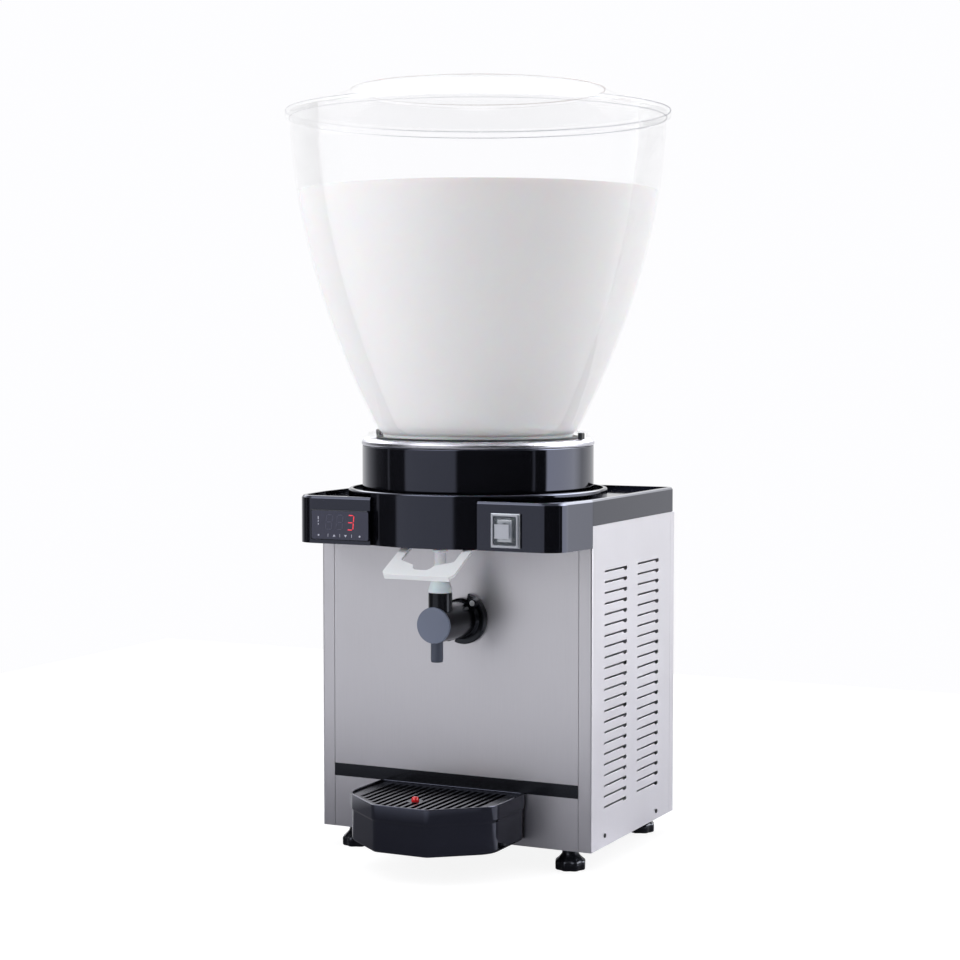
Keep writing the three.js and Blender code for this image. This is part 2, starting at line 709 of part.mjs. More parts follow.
const hubRadius = 12;
const bladeThickness = 3;
const bladeInner = drumRadius + paddleClearance;
const bladeBottomZ = deckTopZ + paddleClearance * 2;
const armHeight = 12;

function paddle() {
  const hubBottomZ = drumTopZ + sealFlange + running;
  const hub = post(hubRadius, hubBottomZ, shaftTopZ + hubHeight / 4, 0, 0, smallSides);
  const arms = block(-paddleSweep, paddleSweep, -bladeThickness / 2, bladeThickness / 2,
    hubBottomZ + running, hubBottomZ + running + armHeight);
  const blades = [-1, 1].map((side) => block(
    side * bladeInner, side * paddleSweep, -bladeThickness / 2, bladeThickness / 2,
    bladeBottomZ, hubBottomZ + running + armHeight / 2));
  return cut(join(hub, arms, ...blades),
    post(shaftRadius + fit / 2, hubBottomZ - overrun, shaftTopZ + fit, 0, 0, smallSides));
}

part('paddle', paddle(), 'whitePlastic');

// Tap: flanged body with chimney, spout cap, spool stem with spring, seal and boot
const tapFlange = 5;
const tapBackY = frontY - fit;
const spoutCap = 3.6;
const capBackY = frontY - tapReach + spoutCap;
const barrelEndY = capBackY + fit;
const chamberRadius = 14.2;
const chamberDepth = 34;
const sleeveRadius = stemRadius + fit;
const pocketRadius = 11.4;
const pocketDepth = 21;
const sealHeight = 3;
const nozzleY = frontY - tapReach + nozzleRadius;
const nozzleBottomZ = tapZ - nozzleDrop;
const nozzleWall = 2;

function tapBody() {
  const flange = rodAlongY(tapFlangeRadius, tapBackY - tapFlange, tapBackY, tapX, tapZ, midSides);
  const barrel = rodAlongY(barrelRadius, barrelEndY, tapBackY - tapFlange / 2, tapX, tapZ, midSides);
  const chimney = post(chimneyRadius, tapZ, chimneyTopZ, tapX, chimneyY, smallSides);
  const chamber = rodAlongY(chamberRadius, barrelEndY - overrun, barrelEndY + chamberDepth, tapX, tapZ, smallSides);
  const sleeve = post(sleeveRadius, tapZ, chimneyTopZ + overrun, tapX, chimneyY, smallSides);
  const pocket = post(pocketRadius, chimneyTopZ - pocketDepth, chimneyTopZ + overrun, tapX, chimneyY, smallSides);
  const nozzleHole = post(nozzleRadius + fit, tapZ - barrelRadius - overrun, tapZ, tapX, nozzleY, smallSides);
  const capSeat = rodAlongY(barrelRadius + overrun, capBackY - chimneyRadius, barrelEndY, tapX, tapZ, midSides);
  const screwHoles = screwPlaces.map(([x, z]) => rodAlongY(
    screwRadius + fit, tapBackY - tapFlange - overrun, tapBackY + overrun, x, z, tinySides));
  return cut(join(flange, barrel, chimney), capSeat, chamber, sleeve, pocket, nozzleHole, ...screwHoles);
}

part('tap_body', tapBody(), 'matteBlack');

function tapSpout() {
  const plugEndY = barrelEndY + spoutCap;
  const cap = rodAlongY(barrelRadius, frontY - tapReach, capBackY, tapX, tapZ, midSides);
  const plug = rodAlongY(chamberRadius - fit, frontY - tapReach + spoutCap / 2, plugEndY, tapX, tapZ, smallSides);
  const nozzle = post(nozzleRadius, nozzleBottomZ, tapZ - chamberRadius / 2, tapX, nozzleY, smallSides);
  const bore = post(nozzleRadius - nozzleWall, nozzleBottomZ - overrun, tapZ, tapX, nozzleY, smallSides);
  return cut(join(cap, plug, nozzle), bore);
}

part('tap_spout', tapSpout(), 'slate');

const screwHeadRadius = 3.4;
const screwHead = 2.4;
screwPlaces.forEach(([x, z], i) => {
  const headY = tapBackY - tapFlange - fit;
  part(`tap_screw_${i + 1}`, join(
    rodAlongY(screwHeadRadius, headY - screwHead, headY, x, z, tinySides),
    rodAlongY(screwRadius, headY - screwHead / 2, frontY + sheet + overrun / 2, x, z, tinySides)), 'stainless');
});

const shoulderRadius = 10;
const shoulderHeight = 2;
const pressRadius = 8.8;
const pressHeight = 3.5;
const portHeight = 4;
const barbLength = 10;
const stemBottomZ = tapZ + spoutCap;
const shoulderTopZ = chimneyTopZ - sealHeight - fit;
const tineReach = 41; // along the lever, from its pivot
const pressTopZ = sideTopZ - leverPivotDrop - tineReach * Math.sin(leverSlope)
  - leverThickness / 2 * Math.cos(leverSlope) - fit;

function tapPlunger() {
  const stem = post(stemRadius, stemBottomZ, pressTopZ, tapX, chimneyY, smallSides);
  const shoulder = post(shoulderRadius, shoulderTopZ - shoulderHeight, shoulderTopZ, tapX, chimneyY, smallSides);
  const press = post(pressRadius, pressTopZ - pressHeight, pressTopZ, tapX, chimneyY, smallSides);
  const barb = post(barbRadius, pressTopZ - pressHeight, pressTopZ + barbLength, tapX, chimneyY, smallSides);
  const bore = post(barbRadius - barbWall, stemBottomZ + portHeight, pressTopZ + barbLength + overrun,
    tapX, chimneyY, smallSides);
  const port = block(tapX - chimneyRadius, tapX + chimneyRadius, chimneyY - portHeight / 2, chimneyY + portHeight / 2,
    stemBottomZ + portHeight, stemBottomZ + portHeight * 2);
  return cut(join(stem, shoulder, press, barb), bore, port);
}

part('tap_plunger', tapPlunger(), 'silicone');

part('stem_seal', turned([
  [sleeveRadius, chimneyTopZ - sealHeight], [pocketRadius - fit, chimneyTopZ - sealHeight],
  [pocketRadius - fit, chimneyTopZ], [sleeveRadius, chimneyTopZ],
], smallSides, tapX, chimneyY), 'rubber');

// Return spring under the stem's shoulder: one wound wire with straight ends
const springWire = 0.7;
const springTurns = 5;
const springStepsPerTurn = 8;
const springSides = 5;
const springBottomZ = chimneyTopZ - pocketDepth + springWire + fit;
const springTopZ = shoulderTopZ - shoulderHeight - springWire - fit;
const springRadius = (stemRadius + pocketRadius) / 2;

function springPoint(t) {
  const angle = t * springTurns * Math.PI * 2;
  return new THREE.Vector3(
    tapX + springRadius * Math.cos(angle), chimneyY + springRadius * Math.sin(angle),
    springBottomZ + t * (springTopZ - springBottomZ));
}

class SpringRoute extends THREE.Curve {
  getPoint(t) {
    return springPoint(t);
  }
}

part('tap_spring', tube(new SpringRoute(), springWire, 0, springTurns * springStepsPerTurn, springSides), 'stainless');
console.log('least gap between the spring\'s turns, mm:',
  ((springTopZ - springBottomZ) / springTurns - springWire * 2).toFixed(2));

// Silicone boot over the chimney's mouth
const bootHeight = 16;
const bootWall = 1.3;
const bootTopShare = 0.7;
const bootBendShare = 0.6;
const bootBottomZ = chimneyTopZ + fit;
const bootTopRadius = chimneyRadius * bootTopShare;
part('tap_boot', turned([
  [chimneyRadius - bootWall, bootBottomZ], [chimneyRadius, bootBottomZ],
  [chimneyRadius, bootBottomZ + bootHeight / 4], [(chimneyRadius * 2 + bootTopRadius) / 3, bootBottomZ + bootHeight * bootBendShare],
  [bootTopRadius, bootBottomZ + bootHeight], [sleeveRadius, bootBottomZ + bootHeight],
  [sleeveRadius, bootBottomZ + bootHeight - bootWall],
  [(chimneyRadius * 2 + bootTopRadius) / 3 - bootWall, bootBottomZ + bootHeight * bootBendShare - bootWall],
  [chimneyRadius - bootWall, bootBottomZ + bootHeight / 4],
], smallSides, tapX, chimneyY), 'silicone');

// Outlet: spigot in the deck and the hose down to the tap's stem
part('outlet_spigot', turned([
  [barbRadius - barbWall, deckTopZ - spigotLength], [barbRadius, deckTopZ - spigotLength],
  [barbRadius, deckTopZ], [barbRadius - barbWall, deckTopZ],
], smallSides, 0, outletY), 'stainless');

const hoseTopZ = deckTopZ - deckSheet - fit;
const hoseBottomZ = pressTopZ + fit;
const hoseLowZ = hoseBottomZ + hoseRadius * 2;
const hoseHighZ = collarFloorZ - hoseRadius * 2;
const hoseSteps = 16;
const hoseRoute = route([
  [0, outletY, hoseTopZ], [0, outletY, (hoseTopZ + collarFloorZ) / 2], [0, outletY, collarFloorZ],
  [0, outletY, hoseHighZ], [tapX / 2, (outletY + chimneyY) / 2, (hoseHighZ + hoseLowZ) / 2],
  [tapX, chimneyY, hoseLowZ], [tapX, chimneyY, (hoseLowZ + hoseBottomZ) / 2], [tapX, chimneyY, hoseBottomZ]]);
part('outlet_hose', tube(hoseRoute, hoseRadius, hoseBore, hoseSteps, tinySides), 'silicone');

// Lever: a sloping plate round the stem, hinged on a pin behind the head's skirt
const leverY = frontY - leverPivotReach;
const leverZ = sideTopZ - leverPivotDrop;
const armWidth = 12;
const leverCorner = 10;
const eyeRadius = 6;
const pinRadius = 3;
const barFront = 18;
const barBack = 26;
const slotHalf = sleeveRadius + running;
const tineWidth = 5;
const frontBar = 18;
const hookReach = 12;
const notchRadius = 11.8;
const frontLip = 5;

function leverOutline() {
  const half = leverWidth / 2;
  const inner = half - armWidth;
  const outer = [[-half, 0], [-half, leverReach], [half, leverReach], [half, 0], [inner, 0], [inner, barFront],
    [-inner, barFront], [-inner, 0]];
  const shape = polygon(rounded(outer, [0, leverCorner, leverCorner, 0, 0, armWidth / 4, armWidth / 4, 0], 5));
  const barEdge = leverReach - frontBar;
  const opening = [
    [-inner, barBack], [-slotHalf - tineWidth, barBack], [-slotHalf - tineWidth, tineReach], [-slotHalf, tineReach],
    [-slotHalf, barBack], [slotHalf, barBack], [slotHalf, tineReach], [slotHalf + tineWidth, tineReach],
    [slotHalf + tineWidth, barBack], [inner, barBack], [inner, barEdge - hookReach],
    [notchRadius, barEdge - hookReach / 4], [notchRadius, barEdge], [notchRadius / 2, barEdge + hookReach / 4],
    [-notchRadius / 2, barEdge + hookReach / 4], [-notchRadius, barEdge], [-notchRadius, barEdge - hookReach / 4],
    [-inner, barEdge - hookReach]];
  shape.holes.push(polygonHole(opening));
  return shape;
}

// The lever's own frame: x across, y down its slope from the pin, z square to it on the lower side
function onLever(geometry) {
  const axes = new THREE.Matrix4().makeBasis(
    new THREE.Vector3(1, 0, 0),
    new THREE.Vector3(0, -Math.cos(leverSlope), -Math.sin(leverSlope)),
    new THREE.Vector3(0, Math.sin(leverSlope), -Math.cos(leverSlope)));
  return geometry.applyMatrix4(axes).translate(tapX, leverY, leverZ);
}

function tapLever() {
  const half = leverWidth / 2;
  const plate = extruded(leverOutline(), leverThickness).translate(0, 0, -leverThickness / 2);
  const lipHalf = half - leverCorner;
  const lip = block(-lipHalf, lipHalf, leverReach - frontLip / 2, leverReach,
    -leverThickness / 2, frontLip - leverThickness / 2);
  const eyes = [-1, 1].map((side) => rodAlongX(
    eyeRadius, side * (half - armWidth), side * half, 0, 0, tinySides));
  const pinBore = rodAlongX(pinRadius + fit, -half - overrun, half + overrun, 0, 0, tinySides);
  return onLever(cut(join(plate, lip, ...eyes), pinBore));
}

part('tap_lever', tapLever(), 'whitePlastic');

const earSheet = 2;
const earGap = 1;
const earOuter = leverWidth / 2 + earGap + earSheet;
const earDrop = 9;
part('lever_pin', rodAlongX(pinRadius, tapX - earOuter - earSheet, tapX + earOuter + earSheet,
  leverY, leverZ, tinySides), 'stainless');

function leverBracket() {
  const backY = frontY - fit;
  const low = leverZ - earDrop;
  const high = sideTopZ - fit;
  const back = block(tapX - earOuter, tapX + earOuter, backY - earSheet, backY, low, high);
  const ears = [-1, 1].map((side) => block(
    tapX + side * earOuter, tapX + side * (earOuter - earSheet), leverY - earDrop, backY - earSheet / 2, low, high));
  return cut(join(back, ...ears), rodAlongX(
    pinRadius + fit, tapX - earOuter - overrun, tapX + earOuter + overrun, leverY, leverZ, tinySides));
}

part('lever_bracket', leverBracket(), 'zinc');

// Drip tray on a tongue under its floor, with a slotted grille and a level float
const trayBottomZ = bottomZ + trayBottomRise;
const trayTopZ = trayBottomZ + trayHeight;
const bracketSheet = 1.5;
const tongueWidth = 110;
const trayRearY = frontY - fit - bracketSheet - fit;
const trayCorner = 20;
const trayFloorRise = 12;
const trayInsetShare = 0.4;
const trayFloorZ = trayBottomZ + trayFloorRise;
const grilleDrop = 2.5;
const grilleThickness = 4;
const grilleLedge = 3;
const grilleTopZ = trayTopZ - grilleDrop;
const grilleBottomZ = grilleTopZ - grilleThickness;

function trayOutline(inset) {
  const half = trayWidth / 2 - inset;
  const sideY = frontY - traySideDepth + inset * trayInsetShare;
  const tipY = frontY - trayDepth + inset;
  const tip = trayFrontWidth / 2 - inset * trayInsetShare;
  const rear = trayRearY - inset;
  const soft = Math.max(trayCorner - inset, trayWall);
  return rounded([[-half, rear], [-half, sideY], [-tip, tipY], [tip, tipY], [half, sideY], [half, rear]],
    [trayWall, soft, soft / 2, soft / 2, soft, trayWall], 3);
}

function dripTray() {
  const shell = standing(polygon(trayOutline(0)), trayBottomZ, trayTopZ);
  const basin = standing(polygon(trayOutline(trayWall + grilleLedge)), trayFloorZ + trayWall, trayTopZ + overrun);
  const seat = standing(polygon(trayOutline(trayWall)), grilleBottomZ - fit, trayTopZ + overrun);
  const under = standing(polygon(trayOutline(trayWall)), trayBottomZ - overrun, trayFloorZ);
  const notch = block(-tongueWidth / 2 - running, tongueWidth / 2 + running,
    trayRearY - trayWall - overrun, trayRearY + overrun, trayBottomZ - overrun, trayFloorZ);
  return cut(shell, basin, seat, under, notch);
}

part('drip_tray', dripTray(), 'glossBlack');

const tongueLength = 92;
const tongueTopZ = trayFloorZ - fit;
part('tray_bracket', join(
  block(-tongueWidth / 2, tongueWidth / 2, frontY - fit - bracketSheet, frontY - fit, bottomZ + fit, trayTopZ - trayWall),
  block(-tongueWidth / 2, tongueWidth / 2, frontY - tongueLength, frontY - fit - bracketSheet / 2,
    tongueTopZ - bracketSheet, tongueTopZ)), 'zinc');

const slotPitch = 9;
const slotWidth = 5;
const slotMargin = 6;
const floatReach = 86;
const floatY = frontY - floatReach;
const floatKnob = 3.8;
const floatStem = 2.2;
const floatDisc = 15;
const floatDiscHeight = 8;
const floatRise = 4.5;
const floatBoss = 10;

function grilleReach(x) {
  const slope = (trayDepth - traySideDepth) / ((trayWidth - trayFrontWidth) / 2);
  const past = Math.max(Math.abs(x) + slotWidth / 2 - trayFrontWidth / 2, 0);
  return frontY - trayDepth + past * slope + trayWall + slotMargin + slotWidth / 2;
}

function dripGrille() {
  const plate = standing(polygon(trayOutline(trayWall + running)), grilleBottomZ, grilleTopZ);
  const count = Math.floor((trayWidth / 2 - trayWall - slotMargin - slotWidth) / slotPitch);
  const slots = [];
  for (let i = -count; i <= count; i += 1) {
    const x = i * slotPitch;
    slots.push(block(x - slotWidth / 2, x + slotWidth / 2, grilleReach(x), trayRearY - trayWall - slotMargin,
      grilleBottomZ - overrun, grilleTopZ + overrun));
  }
  const boss = post(floatBoss, grilleBottomZ, grilleTopZ, 0, floatY, smallSides);
  return cut(join(cut(plate, ...slots), boss),
    post(floatKnob + running * 2, grilleBottomZ - overrun, grilleTopZ + overrun, 0, floatY, smallSides));
}

part('drip_grille', dripGrille(), 'matteBlack');

const floatBottomZ = trayFloorZ + trayWall + fit;
const floatTopZ = grilleTopZ + floatRise;
part('tray_float', turned([
  [0, floatBottomZ], [floatDisc, floatBottomZ], [floatDisc, floatBottomZ + floatDiscHeight],
  [floatStem, floatBottomZ + floatDiscHeight], [floatStem, grilleTopZ - floatKnob], [floatKnob, grilleTopZ - floatStem],
  [floatKnob, floatTopZ - floatStem], [floatStem, floatTopZ - floatStem / 3], [0, floatTopZ],
], smallSides, 0, floatY), 'red');

// Feet: lobed knobs with a stud through the base pan
const footRadius = 16.5;
const footLobes = 8;
const footLobeDepth = 1.6;
const footKnobHeight = 10;
const footNeckRadius = 8;
const footStepsPerLobe = 4;
const footNeckShare = 0.7;

function foot(x, y) {
  const lobed = [];
  const count = footLobes * footStepsPerLobe;
  for (let i = 0; i < count; i += 1) {
    const angle = i / count * Math.PI * 2;
    const radius = footRadius - footLobeDepth * (1 - Math.cos(angle * footLobes)) / 2;
    lobed.push([x + radius * Math.cos(angle), y + radius * Math.sin(angle)]);
  }
  const knob = standing(polygon(lobed), 0, footKnobHeight);
  const neck = turned([
    [0, footKnobHeight - fit], [footRadius - footLobeDepth * 2, footKnobHeight - fit],
    [footNeckRadius, footHeight * footNeckShare], [footNeckRadius, footHeight - fit], [0, footHeight - fit],
  ], smallSides, x, y);
  const stud = post(studRadius, footHeight - overrun, footHeight + panRim, x, y, tinySides);
  return join(knob, neck, stud);
}

footPlaces.forEach(([x, y], i) => part(`foot_${i + 1}`, foot(x, y), 'matteBlack'));

// Controls in the head's front blocks: digital controller and lit rocker switch under a clear boot
const controllerZ = sideTopZ + controllerRise;
const controllerDepth = 52;
const bezelProud = 3;
const windowInset = 3;
const windowThickness = 1.5;

function controllerBody() {
  const halfWidth = controllerWidth / 2;
  const halfHeight = controllerHeight / 2;
  const bezelBackY = blockY - fit;
  const bezel = block(controllerX - halfWidth, controllerX + halfWidth, bezelBackY - bezelProud, bezelBackY,
    controllerZ - halfHeight, controllerZ + halfHeight);
  const box = block(controllerX - halfWidth + bezelRim, controllerX + halfWidth - bezelRim,
    bezelBackY - bezelProud / 2, blockY + controllerDepth,
    controllerZ - halfHeight + bezelRim, controllerZ + halfHeight - bezelRim);
  const recess = block(controllerX - halfWidth + windowInset, controllerX + halfWidth - windowInset,
    bezelBackY - bezelProud - overrun, bezelBackY - bezelProud + windowThickness + fit,
    controllerZ - halfHeight + windowInset, controllerZ + halfHeight - windowInset);
  return cut(join(bezel, box), recess);
}

part('controller_body', controllerBody(), 'matteBlack');
part('display_window', block(
  controllerX - controllerWidth / 2 + windowInset + fit, controllerX + controllerWidth / 2 - windowInset - fit,
  blockY - fit - bezelProud, blockY - fit - bezelProud + windowThickness,
  controllerZ - controllerHeight / 2 + windowInset + fit, controllerZ + controllerHeight / 2 - windowInset - fit),
'darkWindow');

const switchZ = sideTopZ + switchRise;
const switchFrame = 3;
const switchDepth = 26;
const rockerWidth = 18;
const rockerHeight = 25;
const rockerSwing = THREE.MathUtils.degToRad(7);
const rockerCrown = 4;
const rockerDepth = 9;
const bootSheet = 1;
const bootProud = 9;
const frameBackY = blockY - fit;
const rockerY = frameBackY - switchFrame;

function switchBody() {
  const frame = block(switchX - switchWidth / 2, switchX + switchWidth / 2, rockerY, frameBackY,
    switchZ - switchHeight / 2, switchZ + switchHeight / 2);
  const box = block(switchX - switchBodyWidth / 2, switchX + switchBodyWidth / 2, rockerY + switchFrame / 2,
    blockY + switchDepth, switchZ - switchBodyHeight / 2, switchZ + switchBodyHeight / 2);
  const well = block(switchX - rockerWidth / 2 - running, switchX + rockerWidth / 2 + running,
    rockerY - overrun, rockerY + rockerDepth + running,
    switchZ - rockerHeight / 2 - running, switchZ + rockerHeight / 2 + running);
  return cut(join(frame, box), well);
}

part('switch_body', switchBody(), 'chrome');

// The rocker's section: a shallow V in front, with sides that swing clear in the well
function rocker() {
  const half = rockerHeight / 2;
  const backHalf = half - rockerDepth * Math.tan(rockerSwing) * 2;
  const section = polygon([
    [rockerY + rockerDepth - rockerCrown, switchZ - backHalf], [rockerY - running, switchZ - half],
    [rockerY - rockerCrown / 2, switchZ - half], [rockerY - rockerCrown / 4, switchZ],
    [rockerY - rockerCrown / 2, switchZ + half], [rockerY - running, switchZ + half],
    [rockerY + rockerDepth - rockerCrown, switchZ + backHalf]]);
  return sideways(section, switchX - rockerWidth / 2, switchX + rockerWidth / 2);
}

part('switch_rocker', rocker(), 'whitePlastic');

function switchBoot() {
  const rim = 1.5;
  const draft = 3;
  const frontFaceY = rockerY - bootProud;
  const halfWidth = switchWidth / 2 - rim;
  const halfHeight = switchHeight / 2 - rim;
  const dome = (inset, extra) => {
    const shape = polygon(rounded(rectangle(switchX - halfWidth + inset + draft, switchX + halfWidth - inset - draft,
      switchZ - halfHeight + inset + draft, switchZ + halfHeight - inset - draft), draft, 2));
    const base = polygon(rectangle(switchX - halfWidth + inset, switchX + halfWidth - inset,
      switchZ - halfHeight + inset, switchZ + halfHeight - inset));
    return toGeometry(toManifold(facing(shape, frontFaceY + inset, bootProud - inset - fit + extra))
      .add(toManifold(facing(base, rockerY - draft + inset, draft - inset - fit + extra))));
  };
  return cut(dome(0, 0), dome(bootSheet, overrun));
}

part('switch_boot', switchBoot(), 'clear');

// Power inlet in the rear panel: a shrouded three-pin socket
const inletDepth = 24;
const inletRim = 2;
const inletCavityWidth = 24;
const inletCavityHeight = 17;
const inletCavityDepth = 17;
const pinWidth = 2;
const pinHeight = 4;
const pinPitch = 7;
const pinOffset = 2;

function powerInlet() {
  const flangeY = rearY + fit;
  const flange = block(inletX - inletWidth / 2 - inletRim, inletX + inletWidth / 2 + inletRim, flangeY,
    flangeY + inletRim, inletZ - inletHeight / 2 - inletRim, inletZ + inletHeight / 2 + inletRim);
  const body = block(inletX - inletWidth / 2, inletX + inletWidth / 2, rearY - inletDepth, flangeY + inletRim / 2,
    inletZ - inletHeight / 2, inletZ + inletHeight / 2);
  const cavity = block(inletX - inletCavityWidth / 2, inletX + inletCavityWidth / 2,
    flangeY + inletRim - inletCavityDepth, flangeY + inletRim + overrun,
    inletZ - inletCavityHeight / 2, inletZ + inletCavityHeight / 2);
  const pins = [-1, 0, 1].map((place) => block(
    inletX + place * pinPitch - pinWidth / 2, inletX + place * pinPitch + pinWidth / 2,
    flangeY + inletRim - inletCavityDepth - inletRim, flangeY - inletRim,
    inletZ + (place === 0 ? pinOffset : -pinOffset) - pinHeight / 2,
    inletZ + (place === 0 ? pinOffset : -pinOffset) + pinHeight / 2));
  return join(cut(join(flange, body), cavity), ...pins);
}

part('power_inlet', powerInlet(), 'matteBlack');

// Cooling set on the base pan: compressor, condenser with its fan, drier, pipes and the control box
const panTopZ = bottomZ + panSheet;
const compressorInset = 87;
const compressorX = compressorInset - sideX;
const coolingDepthShare = 0.46;
const compressorY = frontY + cabinetDepth * coolingDepthShare;
const compressorRadius = 62;
const compressorHeight = 150;
const compressorFoot = 7;
const compressorEdge = 22;
const compressorPlateShare = 0.85;
const compressorBaseZ = panTopZ + fit;

function compressor() {
  const base = compressorBaseZ + compressorFoot;
  const shell = turned([
    [0, base], [compressorRadius - compressorEdge, base], [compressorRadius, base + compressorEdge],
    [compressorRadius, base + compressorHeight - compressorEdge],
    [compressorRadius - compressorEdge, base + compressorHeight], [0, base + compressorHeight],
  ], midSides, compressorX, compressorY);
  const reach = compressorRadius * compressorPlateShare;
  const plate = block(compressorX - reach, compressorX + reach, compressorY - reach, compressorY + reach,
    base - sheet, base + sheet);
  const mounts = [-1, 1].flatMap((i) => [-1, 1].map((j) => post(
    compressorFoot, compressorBaseZ, base, compressorX + i * (reach - compressorFoot),
    compressorY + j * (reach - compressorFoot), tinySides)));
  return join(shell, plate, ...mounts);
}

part('compressor', compressor(), 'matteBlack');

const condenserInset = 14;
const condenserThickness = 34;
const condenserWidth = 150;
const condenserHeight = 200;
const finCount = 20;
const finSpine = 10;
const condenserOuterX = insideX - condenserInset;
const condenserInnerX = condenserOuterX - condenserThickness;
const condenserY = compressorY;

function condenser() {
  const y0 = condenserY - condenserWidth / 2;
  const y1 = condenserY + condenserWidth / 2;
  const outline = [];
  const pitch = condenserHeight / finCount;
  const spineX = (condenserInnerX + condenserOuterX - finSpine) / 2;
  const z0 = compressorBaseZ;
  for (let i = 0; i < finCount; i += 1) {
    const z = z0 + i * pitch;
    outline.push([condenserOuterX, z], [condenserOuterX, z + pitch / 2],
      [spineX + finSpine, z + pitch / 2], [spineX + finSpine, z + pitch]);
  }
  outline.pop();
  outline.pop();
  for (let i = finCount - 1; i >= 0; i -= 1) {
    const z = z0 + i * pitch;
    outline.push([condenserInnerX, z + pitch / 2], [condenserInnerX, z]);
    if (i > 0) outline.push([spineX, z], [spineX, z - pitch / 2]);
  }
  return facing(polygon(outline), y0, y1 - y0);
}

part('condenser', condenser(), 'fin');

const fanRadius = 72;
const fanClearance = 4;
const shroudSheet = 2;
const shroudRim = 22;
const shroudOuterX = condenserInnerX - fit;
const shroudInnerX = shroudOuterX - shroudRim;
const fanZ = compressorBaseZ + condenserHeight / 2;

function fanShroud() {
  const plate = polygon(rectangle(condenserY - condenserWidth / 2 - fanClearance,
    condenserY + condenserWidth / 2 + fanClearance, compressorBaseZ, compressorBaseZ + condenserHeight));
  plate.holes.push(roundHole(condenserY, fanZ, fanRadius + fanClearance / 4));
  const skin = sideways(plate, shroudOuterX - shroudSheet, shroudOuterX, { curveSegments: tinySides });
  const tubeWall = cut(
    rodAlongX(fanRadius + fanClearance, shroudInnerX, shroudOuterX - shroudSheet / 2, condenserY, fanZ, midSides),
    rodAlongX(fanRadius + fanClearance - shroudSheet, shroudInnerX - overrun, shroudOuterX + overrun,
      condenserY, fanZ, midSides));
  const spoke = block(shroudInnerX, shroudInnerX + shroudSheet, condenserY - fanRadius - fanClearance / 2,
    condenserY + fanRadius + fanClearance / 2, fanZ - shroudRim / 4, fanZ + shroudRim / 4);
  return join(skin, tubeWall, spoke);
}

part('fan_shroud', fanShroud(), 'zinc');

const fanMotorRadius = 24;
const fanMotorLength = 42;
part('fan_motor', rodAlongX(
  fanMotorRadius, shroudInnerX - fit - fanMotorLength, shroudInnerX - fit, condenserY, fanZ, smallSides), 'matteBlack');

const bladeCount = 5;
const bladePitch = 0.45;
const fanHubRadius = 14;
const fanHubLength = 9;
const bladeSheet = 1.6;
const bladeShare = 0.5;

function fanBlade() {
  const x0 = shroudInnerX + shroudSheet + running;
  const x1 = x0 + fanHubLength;
  const blades = [];
  for (let i = 0; i < bladeCount; i += 1) {
    const blade = block(-bladeSheet / 2, bladeSheet / 2, -fanRadius * bladeShare / 2, fanRadius * bladeShare / 2,
      fanHubRadius / 2, fanRadius - fanClearance / 2);
    blades.push(blade.rotateZ(bladePitch).rotateX(i / bladeCount * Math.PI * 2)
      .translate((x0 + x1) / 2, condenserY, fanZ));
  }
  const hub = rodAlongX(fanHubRadius, x0, x1, condenserY, fanZ, smallSides);
  const swept = rodAlongX(fanRadius, x0, shroudOuterX - shroudSheet - running, condenserY, fanZ, midSides);
  return overlap(join(hub, ...blades), swept);
}

part('fan_blade', fanBlade(), 'whitePlastic');

const boxWidth = 80;
const boxDepth = 60;
const boxHeight = 90;
const boxX = -insideX + fit;
const boxTopZ = sideTopZ - topPlateSheet - fit;
part('control_box', block(boxX, boxX + boxWidth, insideFrontY + fit, insideFrontY + fit + boxDepth,
  boxTopZ - boxHeight, boxTopZ), 'matteBlack');

const pipeRadius = riserRadius;
const pipeBend = 22;
const pipeSteps = 8;
const compressorTopZ = compressorBaseZ + compressorFoot + compressorHeight;
const suctionX = -riserX;
const pipeTopZ = foamTopZ;
const suctionRoute = route([
  [suctionX, riserY, pipeTopZ], [suctionX, riserY, sideTopZ], [suctionX, riserY, sideTopZ - pipeBend * 2],
  [suctionX, riserY, compressorTopZ + pipeBend], [suctionX, riserY, compressorTopZ + fit]]);
part('suction_pipe', tube(suctionRoute, pipeRadius, 0, pipeSteps, tinySides), 'copper');

const drierRadius = 11;
const drierHeight = 90;
const drierX = riserX;
const drierTopZ = sideTopZ - pipeBend * 2;
part('filter_drier', turned([
  [0, drierTopZ - drierHeight], [pipeRadius, drierTopZ - drierHeight], [drierRadius, drierTopZ - drierHeight + drierRadius],
  [drierRadius, drierTopZ - drierRadius], [pipeRadius, drierTopZ], [0, drierTopZ],
], smallSides, drierX, riserY), 'copper');
part('liquid_pipe', post(pipeRadius, drierTopZ + fit, pipeTopZ, drierX, riserY, tinySides), 'copper');

export default dispenser;
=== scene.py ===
"""Chilled yoghurt drink dispenser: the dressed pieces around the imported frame.

Laid out as an add-on with one operator for each group of pieces, and run as a script. Lengths are
millimetres in the frame's own axes, +Z up and the front towards -Y. The user values, the frame's own
calls and what a comment says are in metres.
"""

import math

import bmesh
import bpy
from bpy.props import FloatProperty, FloatVectorProperty, IntProperty, PointerProperty
from mathutils import Matrix, Vector


